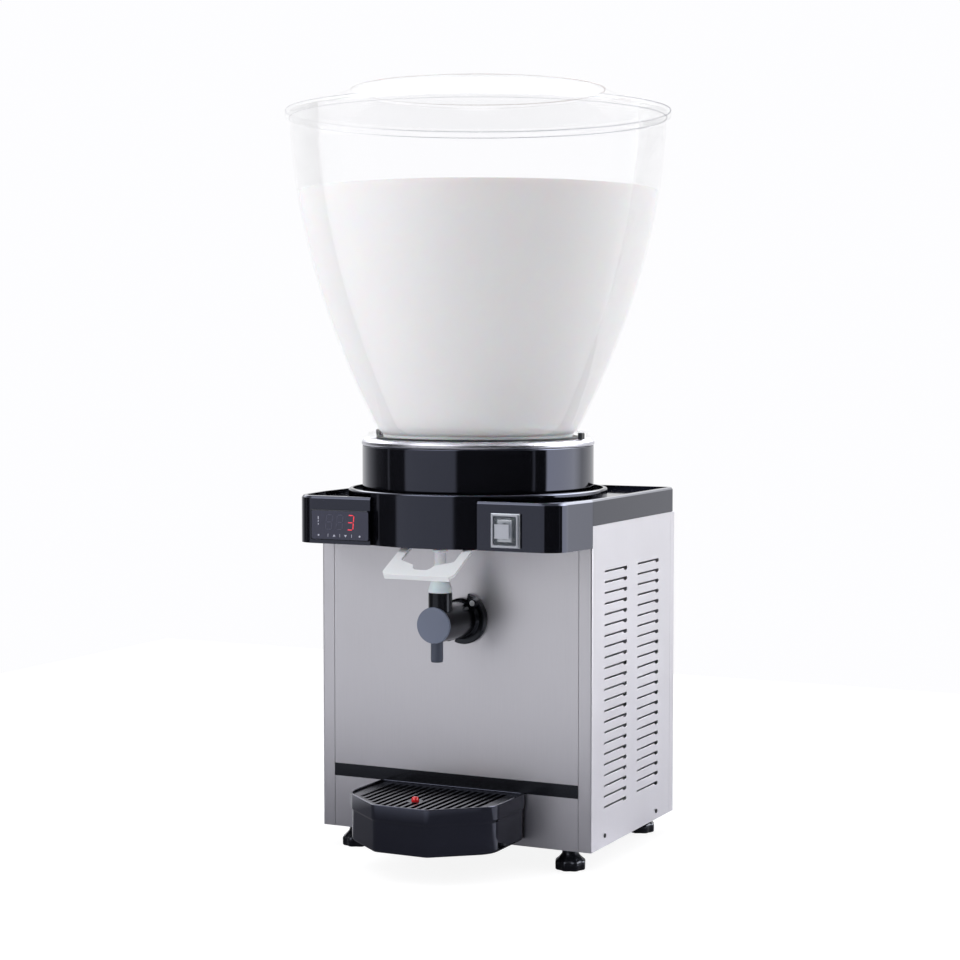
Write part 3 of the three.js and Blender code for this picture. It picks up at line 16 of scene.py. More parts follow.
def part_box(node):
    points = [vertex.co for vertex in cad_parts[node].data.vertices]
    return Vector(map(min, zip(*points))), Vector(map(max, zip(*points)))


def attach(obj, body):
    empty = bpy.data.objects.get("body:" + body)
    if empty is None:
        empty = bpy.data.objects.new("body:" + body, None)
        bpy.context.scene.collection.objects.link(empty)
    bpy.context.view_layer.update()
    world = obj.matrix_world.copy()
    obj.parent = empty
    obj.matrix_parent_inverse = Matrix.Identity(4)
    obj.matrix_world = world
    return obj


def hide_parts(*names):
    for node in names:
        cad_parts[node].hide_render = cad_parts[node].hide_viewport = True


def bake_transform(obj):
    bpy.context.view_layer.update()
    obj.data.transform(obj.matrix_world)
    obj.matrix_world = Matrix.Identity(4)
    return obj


bl_info = {
    "name": "Drink Dispenser",
    "version": (1, 0, 0),
    "blender": (4, 5, 0),
    "location": "3D View > Sidebar > Dispenser",
    "description": "Dresses the packed drink dispenser with smooth shapes and finishes",
    "category": "Add Mesh",
}

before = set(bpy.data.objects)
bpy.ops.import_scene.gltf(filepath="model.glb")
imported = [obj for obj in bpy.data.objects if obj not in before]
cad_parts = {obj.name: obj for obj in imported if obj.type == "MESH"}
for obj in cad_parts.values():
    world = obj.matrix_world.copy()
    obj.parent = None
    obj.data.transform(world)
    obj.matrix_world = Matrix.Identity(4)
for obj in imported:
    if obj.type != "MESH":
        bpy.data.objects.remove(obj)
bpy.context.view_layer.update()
MM = 0.001
ORIGIN = (0, 0, 0)

# Levels and faces of the cabinet and head, and the centres of the tap and the lever's pin
FRONT, REAR, SIDE = -66.0, 192.0, 175.0
BOTTOM, TOP, SKIRT = 25.0, 397.0, 372.0
BLOCK, HEAD_TOP = -142.0, 427.0
TAP_X, TAP_Z, CHIMNEY_Y = 16.0, 285.0, -130.0
LEVER_Y, LEVER_Z, LEVER_SLOPE = -98.0, 390.6, math.radians(26.9)

# Steel sheet, the gap between pieces, and how far a cutter runs past what it cuts
SHEET, FIT, OVERRUN = 1.2, 0.3, 9.0

# Segments round the widest rings, and the distance in metres under which points are one
RING_SEGMENTS, SAME_POINT = 192, 1e-6


# Shapes


def new_object(name, points, faces):
    """A mesh object from points in millimetres, welded, with its faces turned outwards."""
    mesh = bpy.data.meshes.new(name)
    mesh.from_pydata([Vector(point) * MM for point in points], [], faces)
    obj = bpy.data.objects.new(name, mesh)
    bpy.context.scene.collection.objects.link(obj)
    weld(mesh)
    return obj


def weld(mesh, flat=None):
    """Joins doubled points, drops loose edges and, with flat, joins faces that lie in one plane."""
    work = bmesh.new()
    work.from_mesh(mesh)
    bmesh.ops.remove_doubles(work, verts=work.verts, dist=SAME_POINT)
    if flat is not None:
        bmesh.ops.dissolve_limit(work, angle_limit=flat, verts=work.verts, edges=work.edges)
    loose = [edge for edge in work.edges if not edge.link_faces]
    bmesh.ops.delete(work, geom=loose, context="EDGES")
    bmesh.ops.recalc_face_normals(work, faces=work.faces)
    work.to_mesh(mesh)
    work.free()


def placed(axis, centre):
    """Maps (a, b, h) to space, with h along the named axis."""
    cx, cy, cz = centre
    if axis == "X":
        return lambda a, b, h: (h + cx, a + cy, b + cz)
    if axis == "Y":
        return lambda a, b, h: (a + cx, h + cy, b + cz)
    return lambda a, b, h: (a + cx, b + cy, h + cz)


def rectangle(x0, x1, y0, y1):
    """The four corners between two values each way."""
    return [(x0, y0), (x1, y0), (x1, y1), (x0, y1)]


def around(x, y, half_x, half_y):
    """The four corners of a rectangle about its middle."""
    return rectangle(x - half_x, x + half_x, y - half_y, y + half_y)


def arc(centre, radius, start, end, steps):
    """Points on an arc between two angles in degrees."""
    turns = [math.radians(start + (end - start) * k / steps) for k in range(steps + 1)]
    return [(centre[0] + radius * math.cos(turn), centre[1] + radius * math.sin(turn)) for turn in turns]


def mirrored(points):
    """An outline's other half, across the middle plane and in the order that closes it."""
    return [(-x, y) for x, y in reversed(points)]


def eased(points, radii, steps=4):
    """Closed outline with each corner turned into an arc."""
    if not isinstance(radii, (list, tuple)):
        radii = [radii] * len(points)
    most = 0.49
    result = []
    for i, corner in enumerate(points):
        here = Vector(corner)
        before = Vector(points[i - 1]) - here
        after = Vector(points[(i + 1) % len(points)]) - here
        if radii[i] <= 0 or before.length == 0 or after.length == 0:
            result.append(tuple(here))
            continue
        half = before.angle(after) / 2
        reach = min(radii[i] / math.tan(half), before.length * most, after.length * most)
        radius = reach * math.tan(half)
        before.normalize()
        after.normalize()
        middle = here + (before + after).normalized() * (radius / math.sin(half))
        start, end = here + before * reach - middle, here + after * reach - middle
        turn = math.atan2(start.x * end.y - start.y * end.x, start.dot(end))
        for k in range(steps + 1):
            cos, sin = math.cos(turn * k / steps), math.sin(turn * k / steps)
            spun = Vector((start.x * cos - start.y * sin, start.x * sin + start.y * cos))
            result.append(tuple(middle + spun))
    return result


def band(i, j, count):
    """The faces between rings i and j of count points each."""
    return [(i * count + k, i * count + (k + 1) % count, j * count + (k + 1) % count, j * count + k)
            for k in range(count)]


def skinned(name, rings, closed=False):
    """A body through rings of points, which ends in flat caps or closes on itself."""
    count, last = len(rings[0]), len(rings) - 1
    faces = [face for i in range(last) for face in band(i, i + 1, count)]
    if closed:
        faces += band(last, 0, count)
    else:
        faces += [tuple(range(count)), tuple(range(last * count, (last + 1) * count))]
    return new_object(name, [point for ring in rings for point in ring], faces)


def turned(name, profile, ease=0, centre=ORIGIN, axis="Z", segments=128, steps=4):
    """A body turned from a closed profile of (radius, height) points, with its corners eased."""
    if ease:
        profile = eased(profile, ease, steps)
    put = placed(axis, centre)
    points, faces = [], []
    for i, (radius, height) in enumerate(profile):
        for k in range(segments):
            angle = 2 * math.pi * k / segments
            points.append(put(radius * math.cos(angle), radius * math.sin(angle), height))
        j = (i + 1) % len(profile)
        if radius or profile[j][0]:
            faces += band(i, j, segments)
    return new_object(name, points, faces)


def lofted(name, rings, heights, centre=ORIGIN, axis="Z"):
    """A closed body through outlines with equal point counts."""
    put = placed(axis, centre)
    return skinned(name, [[put(a, b, h) for a, b in ring] for ring, h in zip(rings, heights)])


def prism(name, outline, low, high, axis="Z", centre=ORIGIN):
    """A body with straight sides."""
    return lofted(name, [outline, outline], [low, high], centre, axis)


def block(name, x0, x1, y0, y1, z0, z1):
    """A box between two values each way."""
    return prism(name, rectangle(x0, x1, y0, y1), z0, z1)


def rod(name, radius, low, high, centre=ORIGIN, axis="Z", segments=64, ease=0.0):
    """A round bar with eased ends."""
    profile = [(0, low), (radius, low), (radius, high), (0, high)]
    return turned(name, profile, [0, ease, ease, 0] if ease else 0, centre, axis, segments)


def tube(name, route, radius, sides):
    """A round bar along a route."""
    rings = []
    side = Vector((1, 0, 0))
    for i, here in enumerate(route):
        along = (route[min(i + 1, len(route) - 1)] - route[max(i - 1, 0)]).normalized()
        side = (side - along * side.dot(along)).normalized()
        up = along.cross(side)
        angles = [2 * math.pi * k / sides for k in range(sides)]
        rings.append([here + (side * math.cos(angle) + up * math.sin(angle)) * radius for angle in angles])
    return skinned(name, rings)


def join_shapes(base, tools, operation="UNION"):
    """Adds or cuts shapes, and keeps the result as the base's own mesh."""
    for tool in tools:
        step = base.modifiers.new("shape", "BOOLEAN")
        step.operation, step.object, step.solver = operation, tool, "EXACT"
    bpy.context.view_layer.update()
    graph = bpy.context.evaluated_depsgraph_get()
    mesh = bpy.data.meshes.new_from_object(base.evaluated_get(graph))
    base.modifiers.clear()
    base.data = mesh
    for tool in tools:
        bpy.data.objects.remove(tool)
    weld(mesh)
    return base


def cut_shapes(base, tools):
    """Cuts shapes out of the base in one go."""
    return join_shapes(base, tools, "DIFFERENCE")


def cut_in_turn(base, tools):
    """Cuts shapes out of the base one by one, and welds it after each."""
    for tool in tools:
        cut_shapes(base, [tool])


def merged(name, objects, clean=False):
    """Several bodies in one object, welded where asked for."""
    work = bmesh.new()
    for obj in objects:
        work.from_mesh(obj.data)
        bpy.data.objects.remove(obj)
    mesh = bpy.data.meshes.new(name)
    work.to_mesh(mesh)
    work.free()
    if clean:
        weld(mesh)
    result = bpy.data.objects.new(name, mesh)
    bpy.context.scene.collection.objects.link(result)
    return result


def ease_edges(obj, width, steps=3, angle=30):
    """Rounded edges that catch the light, with flat faces kept flat."""
    bevel = obj.modifiers.new("edges", "BEVEL")
    bevel.width, bevel.segments = width * MM, steps
    bevel.limit_method, bevel.angle_limit = "ANGLE", math.radians(angle)
    normals = obj.modifiers.new("faces", "WEIGHTED_NORMAL")
    normals.keep_sharp = True
    obj.data.shade_smooth()
    return obj


def soften(obj, angle=35):
    """Smooth shading between faces that meet at less than the angle."""
    obj.data.shade_smooth()
    obj.data.set_sharp_from_angle(angle=math.radians(angle))
    return obj


# Dressing


def dress(obj, finish, slot, *nodes):
    """Gives a piece its finish and hides the frame nodes that it stands for; the slot is not used."""
    obj.data.materials.clear()
    obj.data.materials.append(look(finish))
    if nodes:
        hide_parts(*nodes)
    return obj


def fit_out(obj, finish, body, slot, *nodes):
    """Dresses a piece that rides on one body."""
    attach(obj, body)
    return dress(obj, finish, slot, *nodes)


def rework(node, name, width, finish, body, slot, steps=3):
    """A piece with the shape of a frame node, its flat faces made whole and its edges eased."""
    obj = bpy.data.objects.new(name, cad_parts[node].data.copy())
    bpy.context.scene.collection.objects.link(obj)
    weld(obj.data, math.radians(0.5))
    return fit_out(ease_edges(obj, width, steps), finish, body, slot, node)


# Finishes

# Sockets of a colour mix
MIX_A, MIX_B, MIX_RESULT = 6, 7, 2


def tint(red, green, blue):
    """A screen colour of 0 to 255 as a linear colour."""
    def linear(value):
        value /= 255
        return value / 12.92 if value <= 0.04045 else ((value + 0.055) / 1.055) ** 2.4
    return (linear(red), linear(green), linear(blue), 1)


def shaded(colour, factor):
    """A colour made lighter or darker."""
    return tuple(min(channel * factor, 1) for channel in colour[:3]) + (1,)


def grey(value):
    """A neutral colour."""
    return (value, value, value, 1)


def new_material(name):
    """A material that uses nodes."""
    material = bpy.data.materials.new(name)
    material.use_nodes = True
    return material


def feed(tree, node, sources):
    """Gives sockets of a node their values, or links them to other sockets."""
    for socket, source in sources.items():
        if isinstance(source, bpy.types.NodeSocket):
            tree.links.new(source, node.inputs[socket])
        else:
            node.inputs[socket].default_value = source


def add_node(tree, kind, sources=None, **settings):
    """A new node with its settings and sources."""
    node = tree.nodes.new(f"ShaderNode{kind}")
    for setting, value in settings.items():
        setattr(node, setting, value)
    feed(tree, node, sources or {})
    return node


def add_noise(tree, place, scale, detail):
    """Noise at a place, as a socket."""
    return add_node(tree, "TexNoise", {"Vector": place, "Scale": scale, "Detail": detail}).outputs["Fac"]


def add_range(tree, value, **limits):
    """A value mapped from one range to another, as a socket."""
    named = {words.replace("_", " ").title(): limit for words, limit in limits.items()}
    return add_node(tree, "MapRange", {"Value": value, **named}).outputs["Result"]


def add_math(tree, operation, first, second=0):
    """The result of two values or sockets, as a socket."""
    return add_node(tree, "Math", {0: first, 1: second}, operation=operation).outputs[0]


def grained(name, colour, metallic=0.0, roughness=0.4, grain=(1, 1, 1), scale=400, detail=4,
            shade=0.08, swing=0.08, bump=0.1, depth=0.05, extra=None):
    """A finish whose colour, roughness and surface follow a fine grain over wide soft clouds."""
    material = new_material(name)
    tree = material.node_tree
    place = add_node(tree, "TexCoord").outputs["Object"]
    stretched = add_node(tree, "Mapping", {"Vector": place, "Scale": grain}).outputs["Vector"]
    fine = add_noise(tree, stretched, scale, detail)
    clouds = add_noise(tree, place, 9, 3)
    both = add_math(tree, "ADD", fine, clouds)
    low, high = 0.6, 1.4
    spread = add_range(tree, both, from_min=low, from_max=high)
    rough = add_range(tree, both, from_min=low, from_max=high,
                      to_min=max(roughness - swing, 0.01), to_max=roughness + swing)
    shades = {0: spread, MIX_A: shaded(colour, 1 - shade), MIX_B: shaded(colour, 1 + shade)}
    relief = add_node(tree, "Bump", {"Height": fine, "Strength": bump, "Distance": depth * MM})
    feed(tree, tree.nodes["Principled BSDF"], {
        "Metallic": metallic, **(extra or {}), "Roughness": rough, "Normal": relief.outputs["Normal"],
        "Base Color": add_node(tree, "Mix", shades, data_type="RGBA").outputs[MIX_RESULT]})
    return material


def clear_plastic(name, colour, roughness, bend, waviness):
    """Clear moulded plastic that lets the lamps' light through to what is behind it."""
    material = new_material(name)
    tree = material.node_tree
    waves = add_noise(tree, add_node(tree, "TexCoord").outputs["Object"], 14, 3)
    relief = add_node(tree, "Bump", {"Height": waves, "Strength": waviness, "Distance": 0.4 * MM})
    shader = tree.nodes["Principled BSDF"]
    feed(tree, shader, {
        "Base Color": colour, "Transmission Weight": 1, "IOR": bend, "Normal": relief.outputs["Normal"],
        "Roughness": add_range(tree, waves, to_min=max(roughness - 0.01, 0), to_max=roughness + 0.02)})
    path = add_node(tree, "LightPath").outputs
    lets = add_math(tree, "MAXIMUM", path["Is Shadow Ray"], path["Is Diffuse Ray"])
    mix = add_node(tree, "MixShader", {
        0: add_math(tree, "MAXIMUM", lets, SEE_THROUGH), 1: shader.outputs["BSDF"],
        2: add_node(tree, "BsdfTransparent").outputs["BSDF"]})
    feed(tree, tree.nodes["Material Output"], {"Surface": mix.outputs["Shader"]})
    return material


# Share of clear plastic that lets everything through unbent
SEE_THROUGH = 0.88
CLEAR_FINISHES = {
    "clear_bowl": dict(colour=tint(251, 251, 253), roughness=0.005, bend=1.16, waviness=0.02),
    "clear_boot": dict(colour=tint(232, 238, 242), roughness=0.08, bend=1.4, waviness=0.3),
}

# A colour is a user colour's name or a screen colour
FINISHES = {
    "brushed_steel": dict(colour="steel", metallic=1, roughness=0.33, grain=(1, 1, 0.012), scale=1500,
                          shade=0.035, swing=0.05, bump=0.12, depth=0.02),
    "galvanised": dict(colour=(160, 163, 168), metallic=1, roughness=0.5, scale=120, shade=0.15, swing=0.1),
    "turned_stainless": dict(colour=(205, 207, 212), metallic=1, roughness=0.22, grain=(0.1, 0.1, 1),
                             scale=1500, shade=0.05, swing=0.05),
    "satin_ring": dict(colour=(200, 200, 208), metallic=1, roughness=0.28, grain=(0.02, 0.02, 1),
                       scale=2200, shade=0.06, swing=0.06, bump=0.15, depth=0.02),
    "gloss_black": dict(colour="black", roughness=0.06, scale=60, shade=0.2, swing=0.03, bump=0.03,
                        extra={"IOR": 1.78, "Specular Tint": (0.7, 0.75, 1, 1)}),
    "satin_black": dict(colour="black", roughness=0.22, scale=1800, shade=0.2, swing=0.06, bump=0.2,
                        depth=0.03, extra={"Specular Tint": (0.8, 0.86, 1, 1)}),
    "matte_black": dict(colour=(24, 25, 28), roughness=0.45, scale=2600, shade=0.2, bump=0.3, depth=0.04),
    "white_plastic": dict(colour=(232, 235, 238), roughness=0.3, scale=1400, shade=0.02, swing=0.05, bump=0.12,
                          depth=0.03, extra={"Subsurface Weight": 0.1, "Subsurface Scale": 0.004}),
    "slate_plastic": dict(colour=(104, 112, 132), roughness=0.42, scale=2400, shade=0.05, swing=0.06,
                          bump=0.3, depth=0.04),
    # A darker copy of the slate plastic: painted shade for the nozzle under the barrel
    "slate_dark": dict(colour=(62, 68, 84), roughness=0.42, scale=2400, shade=0.05, swing=0.06, bump=0.3,
                       depth=0.04),
    "silicone": dict(colour=(230, 231, 237), roughness=0.34, scale=900, shade=0.04, swing=0.06, bump=0.12,
                     depth=0.03, extra={"Subsurface Weight": 0.4, "Subsurface Scale": 0.006,
                                        "Transmission Weight": 0.08, "IOR": 1.41}),
    "foam": dict(colour=(222, 206, 160), roughness=0.9, scale=900, shade=0.1, bump=0.6, depth=0.2),
    "copper": dict(colour=(196, 122, 84), metallic=1, roughness=0.28, scale=200, shade=0.15, swing=0.1),
    "tinted_window": dict(colour=(46, 48, 68), roughness=0.16, scale=40, shade=0.06, swing=0.04, bump=0.02,
                          extra={"Coat Weight": 0.4, "Coat Roughness": 0.05}),
    "silver_plastic": dict(colour=(186, 190, 196), metallic=0.7, roughness=0.2, scale=900, shade=0.06,
                           swing=0.05),
    "red_plastic": dict(colour=(226, 30, 36), roughness=0.2, scale=500, shade=0.1, swing=0.06,
                        extra={"Subsurface Weight": 0.2, "Subsurface Scale": 0.002}),
    "rubber": dict(colour=(38, 38, 40), roughness=0.75, scale=1500, shade=0.12, bump=0.4, depth=0.06),
    "mill_aluminium": dict(colour=(190, 193, 198), metallic=1, scale=500),
    "yoghurt": dict(colour=(244, 243, 243), roughness=0.5, scale=90, detail=6, shade=0.012, bump=0.05,
                    depth=0.1, extra={"Subsurface Weight": 0.3, "Subsurface Scale": 0.012}),
    "glow_red": dict(colour=(235, 40, 55), roughness=0.3, scale=600, shade=0.1,
                     extra={"Emission Color": tint(240, 60, 75), "Emission Strength": 0.7}),
    "dim_segment": dict(colour=(72, 74, 94), roughness=0.3, scale=600, shade=0.05),
    "key_mark": dict(colour=(190, 192, 208), scale=600, shade=0.05),
    "frosted": dict(colour=(214, 217, 226), roughness=0.16, scale=700, shade=0.06, swing=0.06, bump=0.25,
                    depth=0.08, extra={"Transmission Weight": 0.45, "IOR": 1.45}),
    # Painted reflections: the grey and brown lines that the polished edges of the clear bowl and lid show
    "edge_grey": dict(colour=(150, 149, 160), roughness=0.3, scale=600, shade=0.12),
    "edge_brown": dict(colour=(158, 136, 132), roughness=0.3, scale=600, shade=0.12),
    "chrome_bright": dict(colour=(240, 242, 246), metallic=0.5, roughness=0.16, scale=800, shade=0.04,
                          swing=0.05),
    # Painted shade: the dark inside of the clear boot round the rocker
    "boot_dark": dict(colour=(56, 64, 72), roughness=0.3, scale=900, shade=0.1),
    "dark_hole": dict(colour=(14, 14, 18), roughness=0.7, scale=600, shade=0.1),
}


def look(finish):
    """A finish of the dispenser, made when first asked for."""
    name = f"{finish}_finish"
    found = bpy.data.materials.get(name)
    if found:
        return found
    if finish in CLEAR_FINISHES:
        return clear_plastic(name, **CLEAR_FINISHES[finish])
    values = dict(FINISHES[finish])
    colour = values.pop("colour")
    if isinstance(colour, str):
        colour = tuple(getattr(bpy.context.scene.dispenser_colours, colour)) + (1,)
    else:
        colour = tint(*colour)
    return grained(name, colour, **values)


# User values


class DispenserBowlSizes(bpy.types.PropertyGroup):
    """Sizes of the bowl, the drink and the lid"""
    waist: FloatProperty(
        name="Waist radius", description="Outer radius of the bowl at its foot", default=0.115, unit="LENGTH")
    rim: FloatProperty(
        name="Rim radius", description="Outer radius of the bowl at its rim", default=0.2215, unit="LENGTH")
    wall: FloatProperty(
        name="Wall", description="Thickness of the bowl's wall", default=0.0025, unit="LENGTH")
    drink_level: FloatProperty(
        name="Drink level", description="Height of the drink's surface", default=0.7792, unit="LENGTH")
    lid_radius: FloatProperty(
        name="Lid radius", description="Outer radius of the lid", default=0.226, unit="LENGTH")
    lid_rise: FloatProperty(
        name="Lid rise", description="Height of the lid's disc over its plate", default=0.028, unit="LENGTH")


class DispenserHeadSizes(bpy.types.PropertyGroup):
    """Sizes of the head, the collar and the seat ring"""
    well: FloatProperty(
        name="Well radius", description="Outer radius of the round well", default=0.153, unit="LENGTH")
    collar: FloatProperty(
        name="Collar radius", description="Outer radius of the collar", default=0.1368, unit="LENGTH")
    corner: FloatProperty(
        name="Corner radius", description="Radius of the head's front corners", default=0.026, unit="LENGTH")
    edge: FloatProperty(
        name="Top edge", description="Rounding of the head's top edge", default=0.0032, unit="LENGTH")


class DispenserTapSizes(bpy.types.PropertyGroup):
    """Sizes of the tap, its lever and the drip tray"""
    barrel: FloatProperty(
        name="Barrel radius", description="Radius of the tap's barrel and cap", default=0.0206, unit="LENGTH")
    chimney: FloatProperty(
        name="Chimney radius", description="Radius of the upright chimney", default=0.0135, unit="LENGTH")
    nozzle: FloatProperty(
        name="Nozzle radius", description="Outer radius of the spout", default=0.007, unit="LENGTH")
    lever_width: FloatProperty(
        name="Lever width", description="Width of the lever's plate", default=0.089, unit="LENGTH")
    bars: IntProperty(
        name="Grille slots", description="Slots on each side of the middle slot", default=8, min=2, max=12)


class DispenserColours(bpy.types.PropertyGroup):
    """Main colours"""
    steel: FloatVectorProperty(
        name="Steel", description="Brushed steel sheet", subtype="COLOR", size=3,
        default=tint(214, 213, 219)[:3], min=0, max=1)
    black: FloatVectorProperty(
        name="Black plastic", description="Head, collar and tray", subtype="COLOR", size=3,
        default=tint(10, 10, 14)[:3], min=0, max=1)


# Cabinet

FRONT_FLANGE, REAR_GAP, PANEL_FOLD, SLOT_REACH = 16.2, 13.3, 2.4, 6
LOUVRE_ROWS, LOUVRE_FIRST, LOUVRE_TOP_INSET = 23, 42.0, 58.0
LOUVRE_PITCH = (TOP - BOTTOM - LOUVRE_FIRST - LOUVRE_TOP_INSET) / (LOUVRE_ROWS - 1)
LOUVRE_COLUMNS = (FRONT + 37, FRONT + 138)
LOUVRE_LENGTH, LOUVRE_EYE, LOUVRE_SLIT, EYE_LENGTH = 68.0, 2.3, 2.2, 10.0
# Depth behind the panel and rise over the slit's top edge
LIP_SECTION = ((0, 0), (0, 1.2), (2.4, 0.4), (4.4, -1.4), (4.4, -2.6), (2.2, -0.9))
# Screws: places on a side panel, and on the rear panel the distance from the middle and from its ends
SIDE_SCREWS, REAR_SCREW_X, REAR_SCREW_INSET = ((-27, 37.8), (135, 35.0)), 160, 14


def louvre_places():
    """The front lower corner of each louvre, column by column."""
    levels = [BOTTOM + LOUVRE_FIRST + row * LOUVRE_PITCH for row in range(LOUVRE_ROWS)]
    return [(y, z) for y in LOUVRE_COLUMNS for z in levels]


def slot_outline(y, z):
    """A louvre's opening: a thin slit that ends in a rounded eye, which hangs below it at the rear."""
    top = z + LOUVRE_EYE * 2
    under = top - LOUVRE_SLIT
    eye = y + LOUVRE_LENGTH - EYE_LENGTH
    end = arc((y + LOUVRE_LENGTH - LOUVRE_EYE, z + LOUVRE_EYE), LOUVRE_EYE, -90, 90, 8)
    return [(y, top - 0.4), (y, under + 0.4), (y + 0.5, under), (eye - 1.5, under), (eye + 0.6, z + 0.9),
            (eye + 2.4, z)] + end + [(y + 0.5, top)]


def side_panel(side):
    """A side panel with its front flange and slots, and the lips folded in behind them."""
    word = "right" if side > 0 else "left"
    outline = eased([(SIDE - FRONT_FLANGE, FRONT), (SIDE, FRONT), (SIDE, REAR - REAR_GAP),
                     (SIDE - SHEET, REAR - REAR_GAP), (SIDE - SHEET, FRONT + SHEET),
                     (SIDE - FRONT_FLANGE, FRONT + SHEET)], [0, PANEL_FOLD, 0, 0, 0, 0], 5)
    panel = prism(f"{word}_panel_steel", outline if side > 0 else mirrored(outline), BOTTOM, TOP)
    low, high = sorted((side * (SIDE - SLOT_REACH), side * (SIDE + SLOT_REACH)))
    slots = [prism("slot", slot_outline(y, z), low, high, "X") for y, z in louvre_places()]
    cut_shapes(panel, [merged("slots", slots, clean=True)])
    fit_out(ease_edges(panel, 0.25, 2), "brushed_steel", "root", "steel_panel", f"{word}_side_panel")
    inner = side * (SIDE - SHEET - 0.1)
    lips = []
    for y, z in louvre_places():
        section = [(inner - side * depth, z + LOUVRE_EYE * 2 + rise) for depth, rise in LIP_SECTION]
        lips.append(prism("lip", section, y + 0.5, y + LOUVRE_LENGTH - EYE_LENGTH - 1.5, "Y"))
    folded = ease_edges(merged(f"{word}_louvre_lips", lips, clean=True), 0.2, 2)
    fit_out(folded, "brushed_steel", "root", "steel_panel")


def screw_head(name, centre, axis, facing, radius=2.6):
    """A low screw head with a cross recess, its face towards facing along the axis."""
    rise, recess, bar_width, bar_length = 0.7, 0.5, 0.35, 1.7
    low, high = sorted((0.0, rise * facing))
    head = rod(name, radius, low - FIT, high + FIT, centre, axis, 32, 0.4)
    start, end = (high - recess, high + 1) if facing > 0 else (low - 1, low + recess)
    cut_shapes(head, [prism("bar", around(0, 0, *halves), start, end, axis, centre)
                      for halves in ((bar_width, bar_length), (bar_length, bar_width))])
    return soften(head)


class DISPENSER_OT_cabinet(bpy.types.Operator):
    """Steel panels, trim strip and screws of the cabinet"""
    bl_idname = "dispenser.cabinet"
    bl_label = "Cabinet"

    def execute(self, context):
        for side in (1, -1):
            side_panel(side)
        for place in ("front", "rear"):
            rework(f"{place}_panel", f"{place}_panel_steel", 0.3, "brushed_steel", "root", "steel_panel", 2)
        rework("trim_strip", "trim_strip_bare", 0.25, "satin_black", "root", "gloss_black", 2)
        screws = []
        for side in (1, -1):
            screws += [screw_head("screw", (side * SIDE, y, z), "X", side) for y, z in SIDE_SCREWS]
            screws += [screw_head("screw", (side * REAR_SCREW_X, REAR, z), "Y", 1)
                       for z in (BOTTOM + REAR_SCREW_INSET, TOP - REAR_SCREW_INSET)]
        fit_out(soften(merged("panel_screws", screws)), "dark_hole", "root", "stainless")
        return {"FINISHED"}


# Head

BLOCK_INSET, HEAD_PROUD, BLOCK_END, GAP_REAR, REAR_CORNER = 9, 1, 68, FRONT - 4, 10
SHELL_WALL, RIM_WIDTH, DECK_DROP = 3, 6, 5
WELL_TOP, GUTTER_WALL, GUTTER_FLOOR, THROAT = 433, 5, 423.4, 126
# Left, right, lower and upper edge of the openings for the controller and the switch
CONTROLLER_HOLE, SWITCH_HOLE = (-142.8, -71.2, 378.2, 409.8), (91.9, 116.5, 379.9, 410.5)
# How far the top edge leans back for its height, and at each ring the shares of the lean and of the drop
TOP_EDGE_LEAN = 0.8
TOP_EDGE_SHARES = ((0, 1), (0.04, 0.88), (0.12, 0.78), (0.62, 0.2), (0.76, 0.07), (1, 0))
# The hose's way through the collar, and the shaft's top
HOSE_Y, HOSE_WAY, SHAFT_TOP = -104, 8.05, 666


def head_sizes():
    """The user's sizes of the head."""
    return bpy.context.scene.dispenser_head


def head_outline(inset):
    """The head's plan, inset all round, with the same number of points each time."""
    corner = head_sizes().corner / MM
    half = [(SIDE - BLOCK_INSET - inset, BLOCK + inset), (SIDE + HEAD_PROUD - inset, FRONT),
            (SIDE + HEAD_PROUD - inset, REAR - inset)]
    radii = [max(radius - inset, 1.5) for radius in (corner, corner, REAR_CORNER, REAR_CORNER, corner, corner)]
    return eased(half + mirrored(half), radii, 10)


def head_slab(name, inset, low, high):
    """The head's plan as a straight body."""
    return lofted(name, [head_outline(inset)] * 2, [low, high])


def front_gap(wider, low, high):
    """A cutter for the gap between the two front blocks."""
    reach = BLOCK_END + wider
    return block("gap", -reach, reach, BLOCK - OVERRUN, GAP_REAR, low, high)


